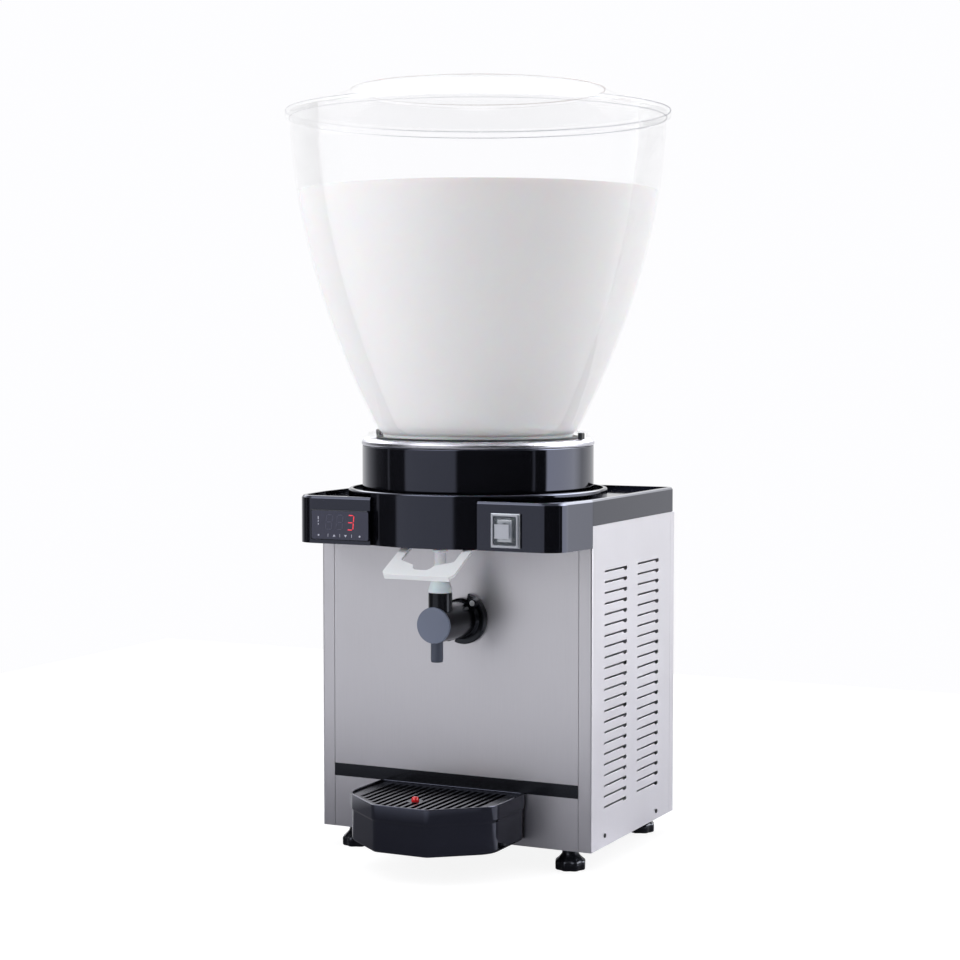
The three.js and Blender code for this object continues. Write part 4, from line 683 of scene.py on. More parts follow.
class DISPENSER_OT_head(bpy.types.Operator):
    """Gloss black head with its two control blocks, the round bulge and the recessed top"""
    bl_idname = "dispenser.head"
    bl_label = "Head"

    def execute(self, context):
        well, edge = head_sizes().well / MM, head_sizes().edge / MM
        far, under, above = 400, SKIRT - OVERRUN, HEAD_TOP + 4 * OVERRUN
        rings = [head_outline(0)] + [head_outline(edge * back * TOP_EDGE_LEAN) for back, _ in TOP_EDGE_SHARES]
        heights = [SKIRT] + [HEAD_TOP - edge * drop for _, drop in TOP_EDGE_SHARES]
        head = lofted("head_shell", rings, heights)
        cut_shapes(head, [front_gap(0, under, HEAD_TOP + OVERRUN)])
        wall = [(0, SKIRT), (well, SKIRT), (well, WELL_TOP), (0, WELL_TOP)]
        join_shapes(head, [turned("bulge", wall, [0, 0, 2.2, 0], segments=RING_SEGMENTS, steps=5)])
        deck = HEAD_TOP - DECK_DROP
        hollow = head_slab("hollow", SHELL_WALL, under, deck - SHELL_WALL)
        cut_shapes(hollow, [front_gap(SHELL_WALL, under - OVERRUN, deck + OVERRUN)])
        recess = head_slab("recess", RIM_WIDTH, deck, HEAD_TOP + OVERRUN)
        cut_shapes(recess, [rod("keep", well, deck - OVERRUN, above, segments=RING_SEGMENTS)])
        tools = [
            block("steel", -far, far, FRONT - FIT, far, under, TOP + FIT),
            hollow,
            rod("round", well - SHELL_WALL, under, deck - SHELL_WALL, segments=RING_SEGMENTS),
            recess,
            rod("gutter", well - GUTTER_WALL, GUTTER_FLOOR, above, segments=RING_SEGMENTS),
            rod("throat", THROAT, under, above, segments=128),
        ]
        for left, right, low, high in (CONTROLLER_HOLE, SWITCH_HOLE):
            tools.append(block("opening", left, right, BLOCK - OVERRUN, BLOCK + OVERRUN, low, high))
        cut_in_turn(head, tools)
        fit_out(ease_edges(head, 0.8, 3, 40), "gloss_black", "root", "gloss_black", "head_housing")
        return {"FINISHED"}


class DISPENSER_OT_seat(bpy.types.Operator):
    """Collar, satin seat ring, gasket, bowl stops and the cold drum"""
    bl_idname = "dispenser.seat"
    bl_label = "Bowl seat"

    def execute(self, context):
        radius = head_sizes().collar / MM
        low, floor, top, wall, hub = 423.7, 436, 483, 3, 14
        collar = turned("collar_gloss", [
            (radius, low), (radius, top), (radius - wall, top), (radius - wall, floor + wall),
            (hub, floor + wall), (hub, floor), (radius - 2 * wall, floor), (radius - wall, floor - wall),
            (radius - wall, low),
        ], [0.6, 1.2, 0.5, 0, 0, 0, 0, 0, 0.6], segments=RING_SEGMENTS, steps=5)
        way = rod("hose_way", HOSE_WAY, floor - 6, floor + OVERRUN, (0, HOSE_Y, 0), segments=32)
        cut_shapes(collar, [way])
        fit_out(soften(collar), "gloss_black", "root", "gloss_black", "collar")
        outer, inner, low, high = radius + 0.7, 121.3, top + FIT, 491.3
        ring = turned("seat_ring_satin", [
            (inner, low), (outer - 0.8, low), (outer, 485), (outer, 487.6), (outer - 2.2, 490.2),
            (outer - 4.8, high), (inner, high),
        ], [0.3, 0.6, 1, 1.6, 1.6, 1, 0.3], segments=RING_SEGMENTS, steps=5)
        fit_out(soften(ring, 50), "satin_ring", "root", "satin_ring", "seat_ring")
        gasket = turned("gasket_rubber", rectangle(112.3, 120.3, 489.3, 493.3), 1.2, steps=6)
        fit_out(soften(gasket), "rubber", "root", "rubber", "bowl_gasket")
        for word in ("left", "right"):
            rework(f"bowl_stop_{word}", f"stop_{word}", 0.8, "matte_black", "root", "matte_black")
        base, low, body, high, bore = 120, 486.5, 58, 640, 11.3
        drum = turned("cold_drum", [
            (base, low), (base, low + 2.5), (body, low + 2.5), (body, high), (bore, high), (bore, high - 2),
            (body - 2, high - 2), (body - 2, low),
        ], [0.6, 0.6, 4, 5, 0, 0, 3, 0], steps=6)
        fit_out(soften(drum), "turned_stainless", "root", "stainless", "evaporator_drum")
        shaft_hole, seat, brim = 5.3, high + FIT, 14
        seal = turned("seal_rubber", [
            (shaft_hole, high - 6), (11, high - 6), (11, seat), (brim, seat), (brim, high + 3),
            (shaft_hole, high + 3),
        ], [0.4, 0.4, 0, 0.8, 0.8, 0.4], segments=48, steps=6)
        fit_out(soften(seal), "rubber", "root", "rubber", "shaft_seal")
        shaft = rod("shaft_turned", shaft_hole - FIT, floor, SHAFT_TOP, segments=48, ease=0.8)
        fit_out(soften(shaft), "turned_stainless", "paddle", "stainless", "drive_shaft")
        rework("paddle", "paddle_white", 0.8, "white_plastic", "paddle", "white_plastic")
        return {"FINISHED"}


# Bowl, drink and lid

BOWL_FOOT, BOWL_TOP, BOWL_FLARE = 493.0, 871.0, 1.88
FOOT_RADIUS, BOWL_BORE, FOOT_THICK = 130.0, 112.0, 5.0
LUG_REACH, LUG_START, LUG_END = 6, 4.8, 16.8
# Moulded line below the rim: its level, its height over the wall and its half width
BEAD_Z, BEAD_RISE, BEAD_SPREAD = 845.5, 0.7, 2.2
DRUM_CLEAR, DRUM_CLEAR_TOP, DRINK_LOW = 97, 688, 489.3
LID_LIP, LID_PLATE, LID_DISC = 5.9, 3.0, 147


def bowl_radius(z):
    """The bowl's outer radius at a level."""
    sizes = bpy.context.scene.dispenser_bowl
    waist, rim = sizes.waist / MM, sizes.rim / MM - 1.5
    share = min(max((z - BOWL_FOOT) / (BOWL_TOP - BOWL_FOOT), 0), 1)
    return waist + (rim - waist) * (1 - (1 - share) ** BOWL_FLARE)


def bowl_wall(z0, z1, inset, steps=40):
    """Points on the bowl's wall between two levels."""
    levels = [z0 + (z1 - z0) * k / steps for k in range(steps + 1)]
    return [(bowl_radius(z) - inset, z) for z in levels]


def painted_edge_reflection(name, radius, z, thick, body, finish):
    """A thin ring painted in as reflection: the line of light that a polished edge of clear plastic bends and
    mirrors, drawn thickest at the rear.
    """
    segments, sides, heavy_side, least = RING_SEGMENTS, 8, math.radians(26), 0.3
    rings = []
    for k in range(segments):
        angle = 2 * math.pi * k / segments
        size = thick * (least + (1 - least) * math.sqrt(max(math.sin(angle + heavy_side), 0)))
        rings.append([(reach * math.cos(angle), reach * math.sin(angle), z + up)
                      for reach, up in arc((radius, 0), size, 0, 360, sides)[:-1]])
    fit_out(soften(skinned(name, rings, closed=True)), finish, body, "clear_plastic")


class DISPENSER_OT_bowl(bpy.types.Operator):
    """Clear flared bowl with its foot flange, lugs and beaded rim, and the drink in it"""
    bl_idname = "dispenser.bowl"
    bl_label = "Bowl and drink"

    def execute(self, context):
        sizes = context.scene.dispenser_bowl
        wall, rim, level = sizes.wall / MM, sizes.rim / MM, sizes.drink_level / MM
        bottom, top, soft = BOWL_FOOT + 0.6, BOWL_TOP, 0.8
        flange = bottom + FOOT_THICK
        inside = flange - FOOT_THICK / 2
        profile = [(BOWL_BORE, bottom), (FOOT_RADIUS - soft, bottom), (FOOT_RADIUS, bottom + soft),
                   (FOOT_RADIUS, flange - soft), (FOOT_RADIUS - soft, flange),
                   (bowl_radius(flange) + 2.5, flange), (bowl_radius(flange) + soft, flange + soft)]
        profile += [(radius + BEAD_RISE * math.exp(-((z - BEAD_Z) / BEAD_SPREAD) ** 2), z)
                    for radius, z in bowl_wall(flange + 3, top - 8, 0)]
        profile += [(rim - 0.6, top - 6.4), (rim, top - 5.6), (rim, top - soft), (rim - soft, top),
                    (rim - wall, top)]
        profile += list(reversed(bowl_wall(flange, top - 1.2, wall))) + [(BOWL_BORE, inside)]
        bowl = turned("bowl_clear", profile, segments=RING_SEGMENTS)
        lugs = []
        for side in (-1, 1):
            near, far = sorted((side * (FOOT_RADIUS - LUG_REACH), side * (FOOT_RADIUS + LUG_REACH)))
            lugs.append(block("lug", near, far, LUG_START, LUG_END, bottom, flange + FOOT_THICK / 2))
        join_shapes(bowl, lugs)
        fit_out(soften(bowl, 40), "clear_bowl", "bowl", "clear_plastic", "bowl")
        # Painted reflection: a grey ring for the line of light that the bowl's polished rim shows
        painted_edge_reflection("bowl_rim_line", rim - 0.9, top - 6, 0.5, "bowl", "edge_grey")
        side = bowl_wall(flange + 0.5, level + 1.2, wall + 0.35, 36)
        lip = side[-1][0]
        profile = [(0, DRUM_CLEAR_TOP), (DRUM_CLEAR, DRUM_CLEAR_TOP), (DRUM_CLEAR, DRINK_LOW),
                   (BOWL_BORE - FIT, DRINK_LOW), (BOWL_BORE - FIT, inside)] + side
        profile += [(lip - 1.2, level + 0.4), (lip - 4, level), (0, level)]
        drink = turned("drink_white", profile, segments=160)
        fit_out(soften(drink, 50), "yoghurt", "bowl", "yoghurt_drink", "drink")
        return {"FINISHED"}


class DISPENSER_OT_lid(bpy.types.Operator):
    """Clear lid with a raised disc"""
    bl_idname = "dispenser.lid"
    bl_label = "Lid"

    def execute(self, context):
        sizes = context.scene.dispenser_bowl
        radius, plate, bore, disc = sizes.lid_radius / MM, BOWL_TOP + FIT, sizes.rim / MM + 0.6, LID_DISC
        top = plate + sizes.lid_rise / MM
        profile = [(bore, plate - LID_LIP), (radius, plate - LID_LIP), (radius, plate + LID_PLATE),
                   (radius - 21, plate + LID_PLATE), (disc + 5, top - 3), (disc + 3, top), (disc, top),
                   (disc - 2, top - 2), (0, top - 1), (0, top - 4), (disc, top - 5), (radius - 23, plate),
                   (bore, plate)]
        radii = [0.6, 0.8, 1.6, 3, 2, 1, 1, 1, 0, 0, 2, 3, 1]
        lid = turned("lid_clear", profile, radii, segments=RING_SEGMENTS)
        fit_out(soften(lid, 40), "clear_bowl", "lid", "clear_plastic", "lid")
        # Painted reflections: a grey ring at the lid's edge and a brown one at its disc, for the lines of
        # light that these polished edges show
        painted_edge_reflection("lid_edge_line", radius - 0.9, plate + 2, 0.6, "lid", "edge_grey")
        painted_edge_reflection("lid_disc_line", disc + 1.6, top - 0.8, 0.5, "lid", "edge_brown")
        return {"FINISHED"}


# Tap

# Along the tap: back and front of its flange, barrel and cap
TAP_BACK, FLANGE_BACK, FLANGE_FRONT = -67, -66.3, -71.3
BARREL_END, CAP_BACK, CAP_END = -141.6, -141.9, -145.5
FLANGE_RADIUS, FLARE, BARREL_SHIFT = 30, 3.4, 1.5
# Two screws: their distance and directions from the middle, and their bosses' front and recess
SCREW_OFFSET, SCREW_ANGLES, BOSS_FRONT, BOSS_RECESS = 25.5, (0.92, -2.22), -81, 1.6
STEM_BORE, STEM_RADIUS, CHIMNEY_TOP, BOOT_LOW = 7.3, 6.85, 321, 321.3
SPOUT_Y, SPOUT_LOW, SPOUT_TOP = FRONT - 72.5, 243, 276
HOSE_KNOTS = ((0, HOSE_Y, 486.2), (0, HOSE_Y, 462), (0, -104.5, 440), (2.5, -108, 421), (9, -119, 403),
              (14.5, -127.5, 388), (TAP_X, CHIMNEY_Y, 378), (TAP_X, CHIMNEY_Y, 370.6))


def hose_route():
    """Smooth points from the deck's spigot down to the tap's stem."""
    knots = [Vector(knot) for knot in HOSE_KNOTS]
    points, steps = [], 6
    for i in range(len(knots) - 1):
        a, b = knots[max(i - 1, 0)], knots[i]
        c, d = knots[i + 1], knots[min(i + 2, len(knots) - 1)]
        for t in (k / steps for k in range(steps)):
            points.append(0.5 * ((2 * b) + (c - a) * t + (2 * a - 5 * b + 4 * c - d) * t * t
                                 + (3 * b - a - 3 * c + d) * t ** 3))
    return points + [knots[-1]]


def sector(start, end, centre):
    """A cutter between two angles in degrees about the tap's axis."""
    reach, low, high = 60, -90, -50
    return prism("sector", [(0, 0)] + arc((0, 0), reach, start, end, 12), low, high, "Y", centre)


class DISPENSER_OT_tap(bpy.types.Operator):
    """Tap body, slate spout and cap, screws, plunger, boot and hose"""
    bl_idname = "dispenser.tap"
    bl_label = "Tap"

    def execute(self, context):
        sizes = context.scene.dispenser_tap
        barrel, chimney, nozzle = sizes.barrel / MM, sizes.chimney / MM, sizes.nozzle / MM
        centre, upright = (TAP_X - BARREL_SHIFT, 0, TAP_Z), (TAP_X, CHIMNEY_Y, 0)
        along = dict(centre=centre, axis="Y", segments=96)
        profile = [(0, BARREL_END), (barrel, BARREL_END), (barrel, TAP_BACK - 11),
                   (barrel + FLARE, TAP_BACK - 8), (barrel + FLARE, TAP_BACK), (0, TAP_BACK)]
        body = turned("tap_shell", profile, [0, 0.5, 3, 2, 1, 0], steps=5, **along)
        profile = [(0, FLANGE_FRONT), (FLANGE_RADIUS, FLANGE_FRONT), (FLANGE_RADIUS, FLANGE_BACK),
                   (0, FLANGE_BACK)]
        flange = turned("flange", profile, [0, 1.4, 0.3, 0], **along)
        profile = [(26.6, -75), (29.4, -75), (FLANGE_RADIUS, -68), (26.6, -68)]
        rim = turned("rim", profile, [0.8, 0.8, 0, 0], **along)
        cut_shapes(rim, [sector(70, 335, centre)])
        join_shapes(flange, [rim])
        cut_shapes(flange, [sector(76, 250, centre)])
        join_shapes(body, [flange])
        profile = [(0, TAP_Z), (chimney, TAP_Z), (chimney, CHIMNEY_TOP), (0, CHIMNEY_TOP)]
        join_shapes(body, [turned("upright", profile, [0, 0, 1, 0], upright, segments=64)])
        cut_shapes(body, [rod("sleeve", STEM_BORE, TAP_Z + 6, CHIMNEY_TOP + OVERRUN, upright, segments=48)])
        screws = []
        for i, angle in enumerate(SCREW_ANGLES):
            x, z = TAP_X + SCREW_OFFSET * math.cos(angle), TAP_Z - 1 + SCREW_OFFSET * math.sin(angle)
            seat = BOSS_FRONT + BOSS_RECESS
            join_shapes(body, [rod("boss", 5.1, BOSS_FRONT, TAP_BACK, (x, 0, z), "Y", 40, 0.9)])
            cut_shapes(body, [rod("cup", 3.7, BOSS_FRONT - 3, seat, (x, 0, z), "Y", 40)])
            screws.append(screw_head(f"tap_screw_head_{i + 1}", (x, seat - 0.2, z), "Y", -1, 3.3))
        fit_out(ease_edges(body, 0.5, 2, 40), "satin_black", "root", "matte_black", "tap_body", "stem_seal")
        fit_out(soften(merged("tap_screw_heads", screws)), "chrome_bright", "root", "stainless",
                "tap_screw_1", "tap_screw_2")
        profile = [(0, CAP_END), (barrel, CAP_END), (barrel, CAP_BACK), (0, CAP_BACK)]
        cap = turned("spout_cap", profile, [0, 0.8, 0.3, 0], **along)
        fit_out(soften(cap), "slate_plastic", "root", "slate_plastic", "tap_spout")
        profile = [(nozzle - 2, SPOUT_LOW), (nozzle - 0.4, SPOUT_LOW), (nozzle, SPOUT_LOW + 3),
                   (nozzle, SPOUT_TOP), (nozzle - 2, SPOUT_TOP)]
        spout = turned("spout_nozzle", profile, [0.4, 0.8, 2, 0, 0], (TAP_X, SPOUT_Y, 0), segments=48)
        # The nozzle is the cap's slate plastic, made darker as painted shade for where it sits under the
        # barrel
        fit_out(soften(spout), "slate_dark", "root", "slate_plastic")
        profile = [(2.4, 289), (STEM_RADIUS, 289), (STEM_RADIUS, 367), (8.8, 367), (8.8, 370.2), (3.6, 370.2),
                   (3.6, 380), (2.4, 380)]
        stem = turned("plunger_stem", profile, [0, 0.6, 0.6, 0.8, 0.6, 0.3, 0.3, 0.3], upright, segments=48)
        fit_out(soften(stem), "silicone", "plunger", "silicone", "tap_plunger")
        profile = [(12.2, BOOT_LOW), (chimney, BOOT_LOW), (chimney, 324.5), (11.6, 331), (9.2, 336.4),
                   (STEM_BORE, 337.3), (STEM_BORE, 336), (8.2, 335.2), (10.4, 330.4), (12.2, 325)]
        boot = turned("boot_silicone", profile, [0.3, 0.6, 2, 6, 1.6, 0.4, 0.3, 1, 4, 2], upright, segments=64,
                      steps=5)
        dress(soften(boot), "silicone", "silicone", "tap_boot", "tap_spring")
        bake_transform(boot)
        hose = tube("hose_silicone", hose_route(), STEM_RADIUS, 28)
        dress(soften(hose), "silicone", "silicone", "outlet_hose")
        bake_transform(hose)
        return {"FINISHED"}


class DISPENSER_OT_lever(bpy.types.Operator):
    """White lever plate with its fork, front bar and rolled lip"""
    bl_idname = "dispenser.lever"
    bl_label = "Lever"

    def execute(self, context):
        half = context.scene.dispenser_tap.lever_width / MM / 2
        reach, thick, hinge, inner, corner, shoulder = 102.5, 3.4, 42.0, 30.0, 8.0, 9
        arms = [(-hinge, 0), (-hinge, 20), (-half, 36), (-half, reach), (half, reach), (half, 36), (hinge, 20),
                (hinge, 0), (inner, 0), (inner, 18), (-inner, 18), (-inner, 0)]
        radii = [0, shoulder, shoulder, corner, corner, shoulder, shoulder, 0, 0, 3, 3, 0]
        plate = prism("lever_plate", eased(arms, radii, 10), -thick / 2, thick / 2)
        bay, slot, tine, hook = inner + 3.5, 7.75, 5.0, 13.0
        right = [(slot, 26), (slot, 41), (slot + tine, 41), (slot + tine, 26), (bay, 26), (bay, reach - 31),
                 (hook, reach - 22), (hook - 1.5, reach - 17), (hook - 5, reach - 12.5)]
        radii = [1, 0.8, 0.8, 1, 3, 5, 2.6, 1.6, 4]
        fork = eased(right + mirrored(right), radii + radii[::-1], 6)
        cut_shapes(plate, [prism("opening", fork, -OVERRUN, OVERRUN)])
        lip_half, lip_rise = half - corner / 2, 4.2
        lip = prism("lip", rectangle(-lip_half, lip_half, reach - 4, reach), -thick / 2, lip_rise)
        eyes = [rod("eye", 6, *sorted((side * inner, side * hinge)), axis="X", segments=40)
                for side in (-1, 1)]
        join_shapes(plate, [lip] + eyes)
        cut_shapes(plate, [rod("bore", 3.3, -half - 5, half + 5, axis="X", segments=32)])
        cos, sin = math.cos(LEVER_SLOPE), math.sin(LEVER_SLOPE)
        plate.data.transform(Matrix((
            (1, 0, 0, TAP_X * MM), (0, -cos, sin, LEVER_Y * MM), (0, -sin, -cos, LEVER_Z * MM), (0, 0, 0, 1))))
        weld(plate.data)
        fit_out(ease_edges(plate, 0.9, 3, 40), "white_plastic", "lever", "white_plastic", "tap_lever")
        pin = rod("pin_turned", 3, -hinge - 5, hinge + 5, (TAP_X, LEVER_Y, LEVER_Z), "X", 32, 0.5)
        fit_out(soften(pin), "turned_stainless", "root", "stainless", "lever_pin")
        rework("lever_bracket", "bracket_zinc", 0.3, "galvanised", "root", "zinc_sheet", 2)
        return {"FINISHED"}


# Drip tray

TRAY_HALF, TRAY_TIP, TRAY_LIFT, TRAY_CORNER = 93.5, 34.0, 7.5, 34
TRAY_FRONT, TRAY_SIDE_Y, TRAY_REAR = FRONT - 134.0, FRONT - 85.0, -68.1
TRAY_LOW = BOTTOM + TRAY_LIFT
TRAY_FLOOR, TRAY_RIM = TRAY_LOW + 12, TRAY_LOW + 55
# Inset and level of each ring of the tray's outer wall
TRAY_STEPS = ((5, TRAY_LOW), (2.9, TRAY_LOW + 1), (2.1, TRAY_LOW + 2.4), (1.8, TRAY_LOW + 4),
              (1.8, TRAY_RIM - 20), (1.5, TRAY_RIM - 19), (0.3, TRAY_RIM - 17), (0, TRAY_RIM - 16),
              (0, TRAY_RIM - 0.8), (0.7, TRAY_RIM))
GRILLE_TOP, GRILLE_THICK, GRILLE_PITCH = TRAY_RIM - 2.5, 4, 9.0
SLOT_HALF, SLOT_REAR, SLOT_FRONT_INSET = 2.7, -74.5, 10
# The tongue's notch in the tray's rear wall: half width, front and rear
NOTCH_HALF, NOTCH_FRONT, NOTCH_REAR = 55.6, -85, -60
FLOAT_X, FLOAT_RADIUS, FLOAT_STEM, FLOAT_KNOB, FLOAT_HOLE, FLOAT_RING = -5.0, 15, 2.2, 4.3, 5, 9.5


def tray_outline(inset):
    """The tray's plan, inset all round, with the same number of points each time."""
    half, tip = TRAY_HALF - inset, TRAY_TIP - inset * 0.4
    side_y, tip_y, rear = TRAY_SIDE_Y + inset * 0.4, TRAY_FRONT + inset, TRAY_REAR - inset
    soft, rear_soft = max(TRAY_CORNER - inset, 2.5), 2.5
    return eased([(-half, rear), (-half, side_y), (-tip, tip_y), (tip, tip_y), (half, side_y), (half, rear)],
                 [rear_soft, soft, soft / 3, soft / 3, soft, rear_soft], 8)


def tray_slab(name, inset, low, high):
    """The tray's plan as a straight body."""
    return lofted(name, [tray_outline(inset)] * 2, [low, high])


def grille_slot(x):
    """A cutter for one slot, which ends short of the tray's slanted front."""
    past = max(abs(x) + 2.9 - TRAY_TIP, 0)
    front = TRAY_FRONT + past * (TRAY_SIDE_Y - TRAY_FRONT) / (TRAY_HALF - TRAY_TIP) + SLOT_FRONT_INSET
    outline = eased(rectangle(x - SLOT_HALF, x + SLOT_HALF, front, SLOT_REAR), 1.6)
    return prism("slot", outline, GRILLE_TOP - 15, GRILLE_TOP + 5)


class DISPENSER_OT_tray(bpy.types.Operator):
    """Drip tray, ribbed grille, red float and the tray's bracket"""
    bl_idname = "dispenser.tray"
    bl_label = "Drip tray"

    def execute(self, context):
        low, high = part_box("tray_float")
        pivot = (FLOAT_X, (low.y + high.y) / 2 / MM, 0)
        base, cap = low.z / MM, high.z / MM
        insets, levels = zip(*TRAY_STEPS)
        shell = lofted("tray_gloss", [tray_outline(inset) for inset in insets], levels)
        above, below = TRAY_RIM + OVERRUN, TRAY_LOW - OVERRUN
        cut_in_turn(shell, [
            tray_slab("basin", 5.5, TRAY_FLOOR + 2.5, above),
            tray_slab("rebate", 2.5, GRILLE_TOP - GRILLE_THICK - FIT, above),
            tray_slab("under", 4, below, TRAY_FLOOR),
            block("notch", -NOTCH_HALF, NOTCH_HALF, NOTCH_FRONT, NOTCH_REAR, below, TRAY_FLOOR),
        ])
        fit_out(ease_edges(shell, 0.6, 3, 50), "gloss_black", "tray", "gloss_black", "drip_tray")
        plate = tray_slab("grille_ribs", 3.1, GRILLE_TOP - GRILLE_THICK, GRILLE_TOP)
        count = context.scene.dispenser_tap.bars
        slots = [grille_slot(i * GRILLE_PITCH) for i in range(-count, count + 1)]
        slots = merged("slots", slots, clean=True)
        through = (GRILLE_TOP - 15, GRILLE_TOP + 10, pivot)
        cut_shapes(slots, [rod("ring", FLOAT_RING, *through, segments=48)])
        cut_in_turn(plate, [slots, rod("hole", FLOAT_HOLE, *through, segments=40)])
        fit_out(ease_edges(plate, 0.9, 3, 40), "satin_black", "grille", "matte_black", "drip_grille")
        knob = turned("float_red", [
            (0, base), (FLOAT_RADIUS, base), (FLOAT_RADIUS, base + 8), (FLOAT_STEM, base + 8),
            (FLOAT_STEM, cap - 8.3), (FLOAT_KNOB, cap - 7), (FLOAT_KNOB, cap - 2.5), (3.2, cap + 0.2),
            (0, cap + 1),
        ], [0, 1.5, 1.5, 0.5, 0.5, 0.8, 2, 2, 0], pivot, segments=48, steps=5)
        fit_out(soften(knob, 50), "red_plastic", "float", "red_plastic", "tray_float")
        rework("tray_bracket", "bracket_tongue", 0.3, "galvanised", "root", "zinc_sheet", 2)
        return {"FINISHED"}


# Radius, depth of the lobes and level of each ring of a foot's knob
KNOB_STEPS = ((17, 1.7, 0), (18.1, 2, 1), (18.3, 2, 8.6), (17.8, 1.9, 10), (15.8, 1.2, 11.6),
              (12.6, 0.5, 14.5), (10, 0.1, 17.5), (9.2, 0, 20.5), (9, 0, 24.7))


def lobed(size, deep, points=96, lobes=8):
    """A round outline with lobes."""
    ring = []
    for angle in (2 * math.pi * k / points for k in range(points)):
        radius = size - deep * (1 - math.cos(angle * lobes)) / 2
        ring.append((radius * math.cos(angle), radius * math.sin(angle)))
    return ring


class DISPENSER_OT_feet(bpy.types.Operator):
    """Four lobed adjustable feet"""
    bl_idname = "dispenser.feet"
    bl_label = "Feet"

    def execute(self, context):
        bodies = ("foot_front_left", "foot_rear_left", "foot_front_right", "foot_rear_right")
        for i, body in enumerate(bodies):
            low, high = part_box(f"foot_{i + 1}")
            centre = ((low.x + high.x) / 2 / MM, (low.y + high.y) / 2 / MM, 0)
            knob = lofted(f"foot_knob_{i + 1}", [lobed(size, deep) for size, deep, _ in KNOB_STEPS],
                          [height for _, _, height in KNOB_STEPS], centre)
            join_shapes(knob, [rod("stud", 4, 24, 40, centre, segments=32, ease=0.5)])
            fit_out(soften(knob, 45), "satin_black", body, "matte_black", f"foot_{i + 1}")
        return {"FINISHED"}


# Controls

# Each bar of a digit: across, up and whether it lies
SEGMENTS = {"top": (0, 1, 1), "middle": (0, 0, 1), "bottom": (0, -1, 1), "upper_left": (-1, 0.5, 0),
            "upper_right": (1, 0.5, 0), "lower_left": (-1, -0.5, 0), "lower_right": (1, -0.5, 0)}
THREE = ("top", "middle", "bottom", "upper_right", "lower_right")
DIGIT_Z, LIT_X, UNLIT_X, DIGIT_HALF, DIGIT_RISE, DIGIT_SLANT = 397.5, -91.5, (-105.5, -119.5), 3.9, 8.3, 0.09
BAR_LENGTHS, BAR_THICK, BAR_GAP, MARK_THICK = {1: 6.6, 0: 7.7}, 0.95, 0.3, 0.1
# The controller stands this much higher than its node
CONTROLLER_LIFT = 3.0
KEY_Z, KEY_DOTS, KEY_ARROWS, KEY_STROKES = 382, (-133.5, -79.5), ((-113, 1), (-98, -1)), (-121, -105.5, -90)
LIGHT_X, LIGHT_Z, LIGHT_PITCH, LIGHT_HEIGHTS = -133.9, 402, 3.6, (3.4, 2.2, 1.6)
# Middle and front of the switch, and the half sizes of its clear boot
SWITCH_X, SWITCH_Z, SWITCH_Y = 104.2, 395.2, -145.3
BOOT_HALF_X, BOOT_HALF_Z = 16.2, 17.8
# Shrink and depth of each ring of the boot
BOOT_STEPS = ((0, 0), (0, -1.4), (1.6, -3), (3.0, -6.6), (3.6, -8.2), (5.0, -9))


def digit(x, face, bars):
    """Bars of a seven-bar digit, as flat six-sided tiles."""
    made = []
    for across, up, lying in (SEGMENTS[name] for name in bars):
        middle_x, middle_z = x + across * DIGIT_HALF, DIGIT_Z + up * DIGIT_RISE
        half, end = BAR_THICK / 2, BAR_LENGTHS[lying] / 2 - BAR_GAP
        points = [(-end, 0), (-end + half, -half), (end - half, -half), (end, 0), (end - half, half),
                  (-end + half, half)]
        if not lying:
            points = [(-q, p) for p, q in points]
        slanted = [(middle_x + p + (middle_z + q - 397) * DIGIT_SLANT, middle_z + q) for p, q in points]
        made.append(prism("bar", slanted, face - 0.12, face, "Y"))
    return made


def key_marks(face):
    """Plain dots, arrows and strokes over the keys, and the three small lights at the left."""
    outlines = [around(LIGHT_X, LIGHT_Z - k * LIGHT_PITCH, 0.5, tall / 2)
                for k, tall in enumerate(LIGHT_HEIGHTS)]
    outlines += [arc((x, KEY_Z), 1.1, 0, 360, 20)[:-1] for x in KEY_DOTS]
    outlines += [[(x - 1.8, KEY_Z - up * 1.1), (x + 1.8, KEY_Z - up * 1.1), (x, KEY_Z + up * 1.5)]
                 for x, up in KEY_ARROWS]
    outlines += [around(x, KEY_Z + 0.2, 0.25, 1.8) for x in KEY_STROKES]
    return [prism("mark", outline, face - MARK_THICK, face, "Y") for outline in outlines]


def opening(half_x, half_z, soft):
    """A rounded rectangle about the switch's middle."""
    return eased(around(SWITCH_X, SWITCH_Z, half_x, half_z), soft)


def framed(name, outer, inner, near, far):
    """A flat frame over the switch, between an outer and an inner rounded rectangle."""
    frame = prism(name, opening(*outer), SWITCH_Y - near, SWITCH_Y - far, "Y")
    hole = prism("hole", opening(*inner), SWITCH_Y - OVERRUN, SWITCH_Y + OVERRUN, "Y")
    return cut_shapes(frame, [hole])


def dome(name, inset, extra):
    """The boot's dome, inset all round, with its open side moved by extra."""
    rings = [opening(BOOT_HALF_X - inset - size, BOOT_HALF_Z - inset - size, max(2.4 - inset, 1))
             for size, _ in BOOT_STEPS]
    heights = [SWITCH_Y + depth * (1 - inset / 9) + (extra if depth == 0 else 0) for _, depth in BOOT_STEPS]
    return lofted(name, rings, heights, axis="Y")


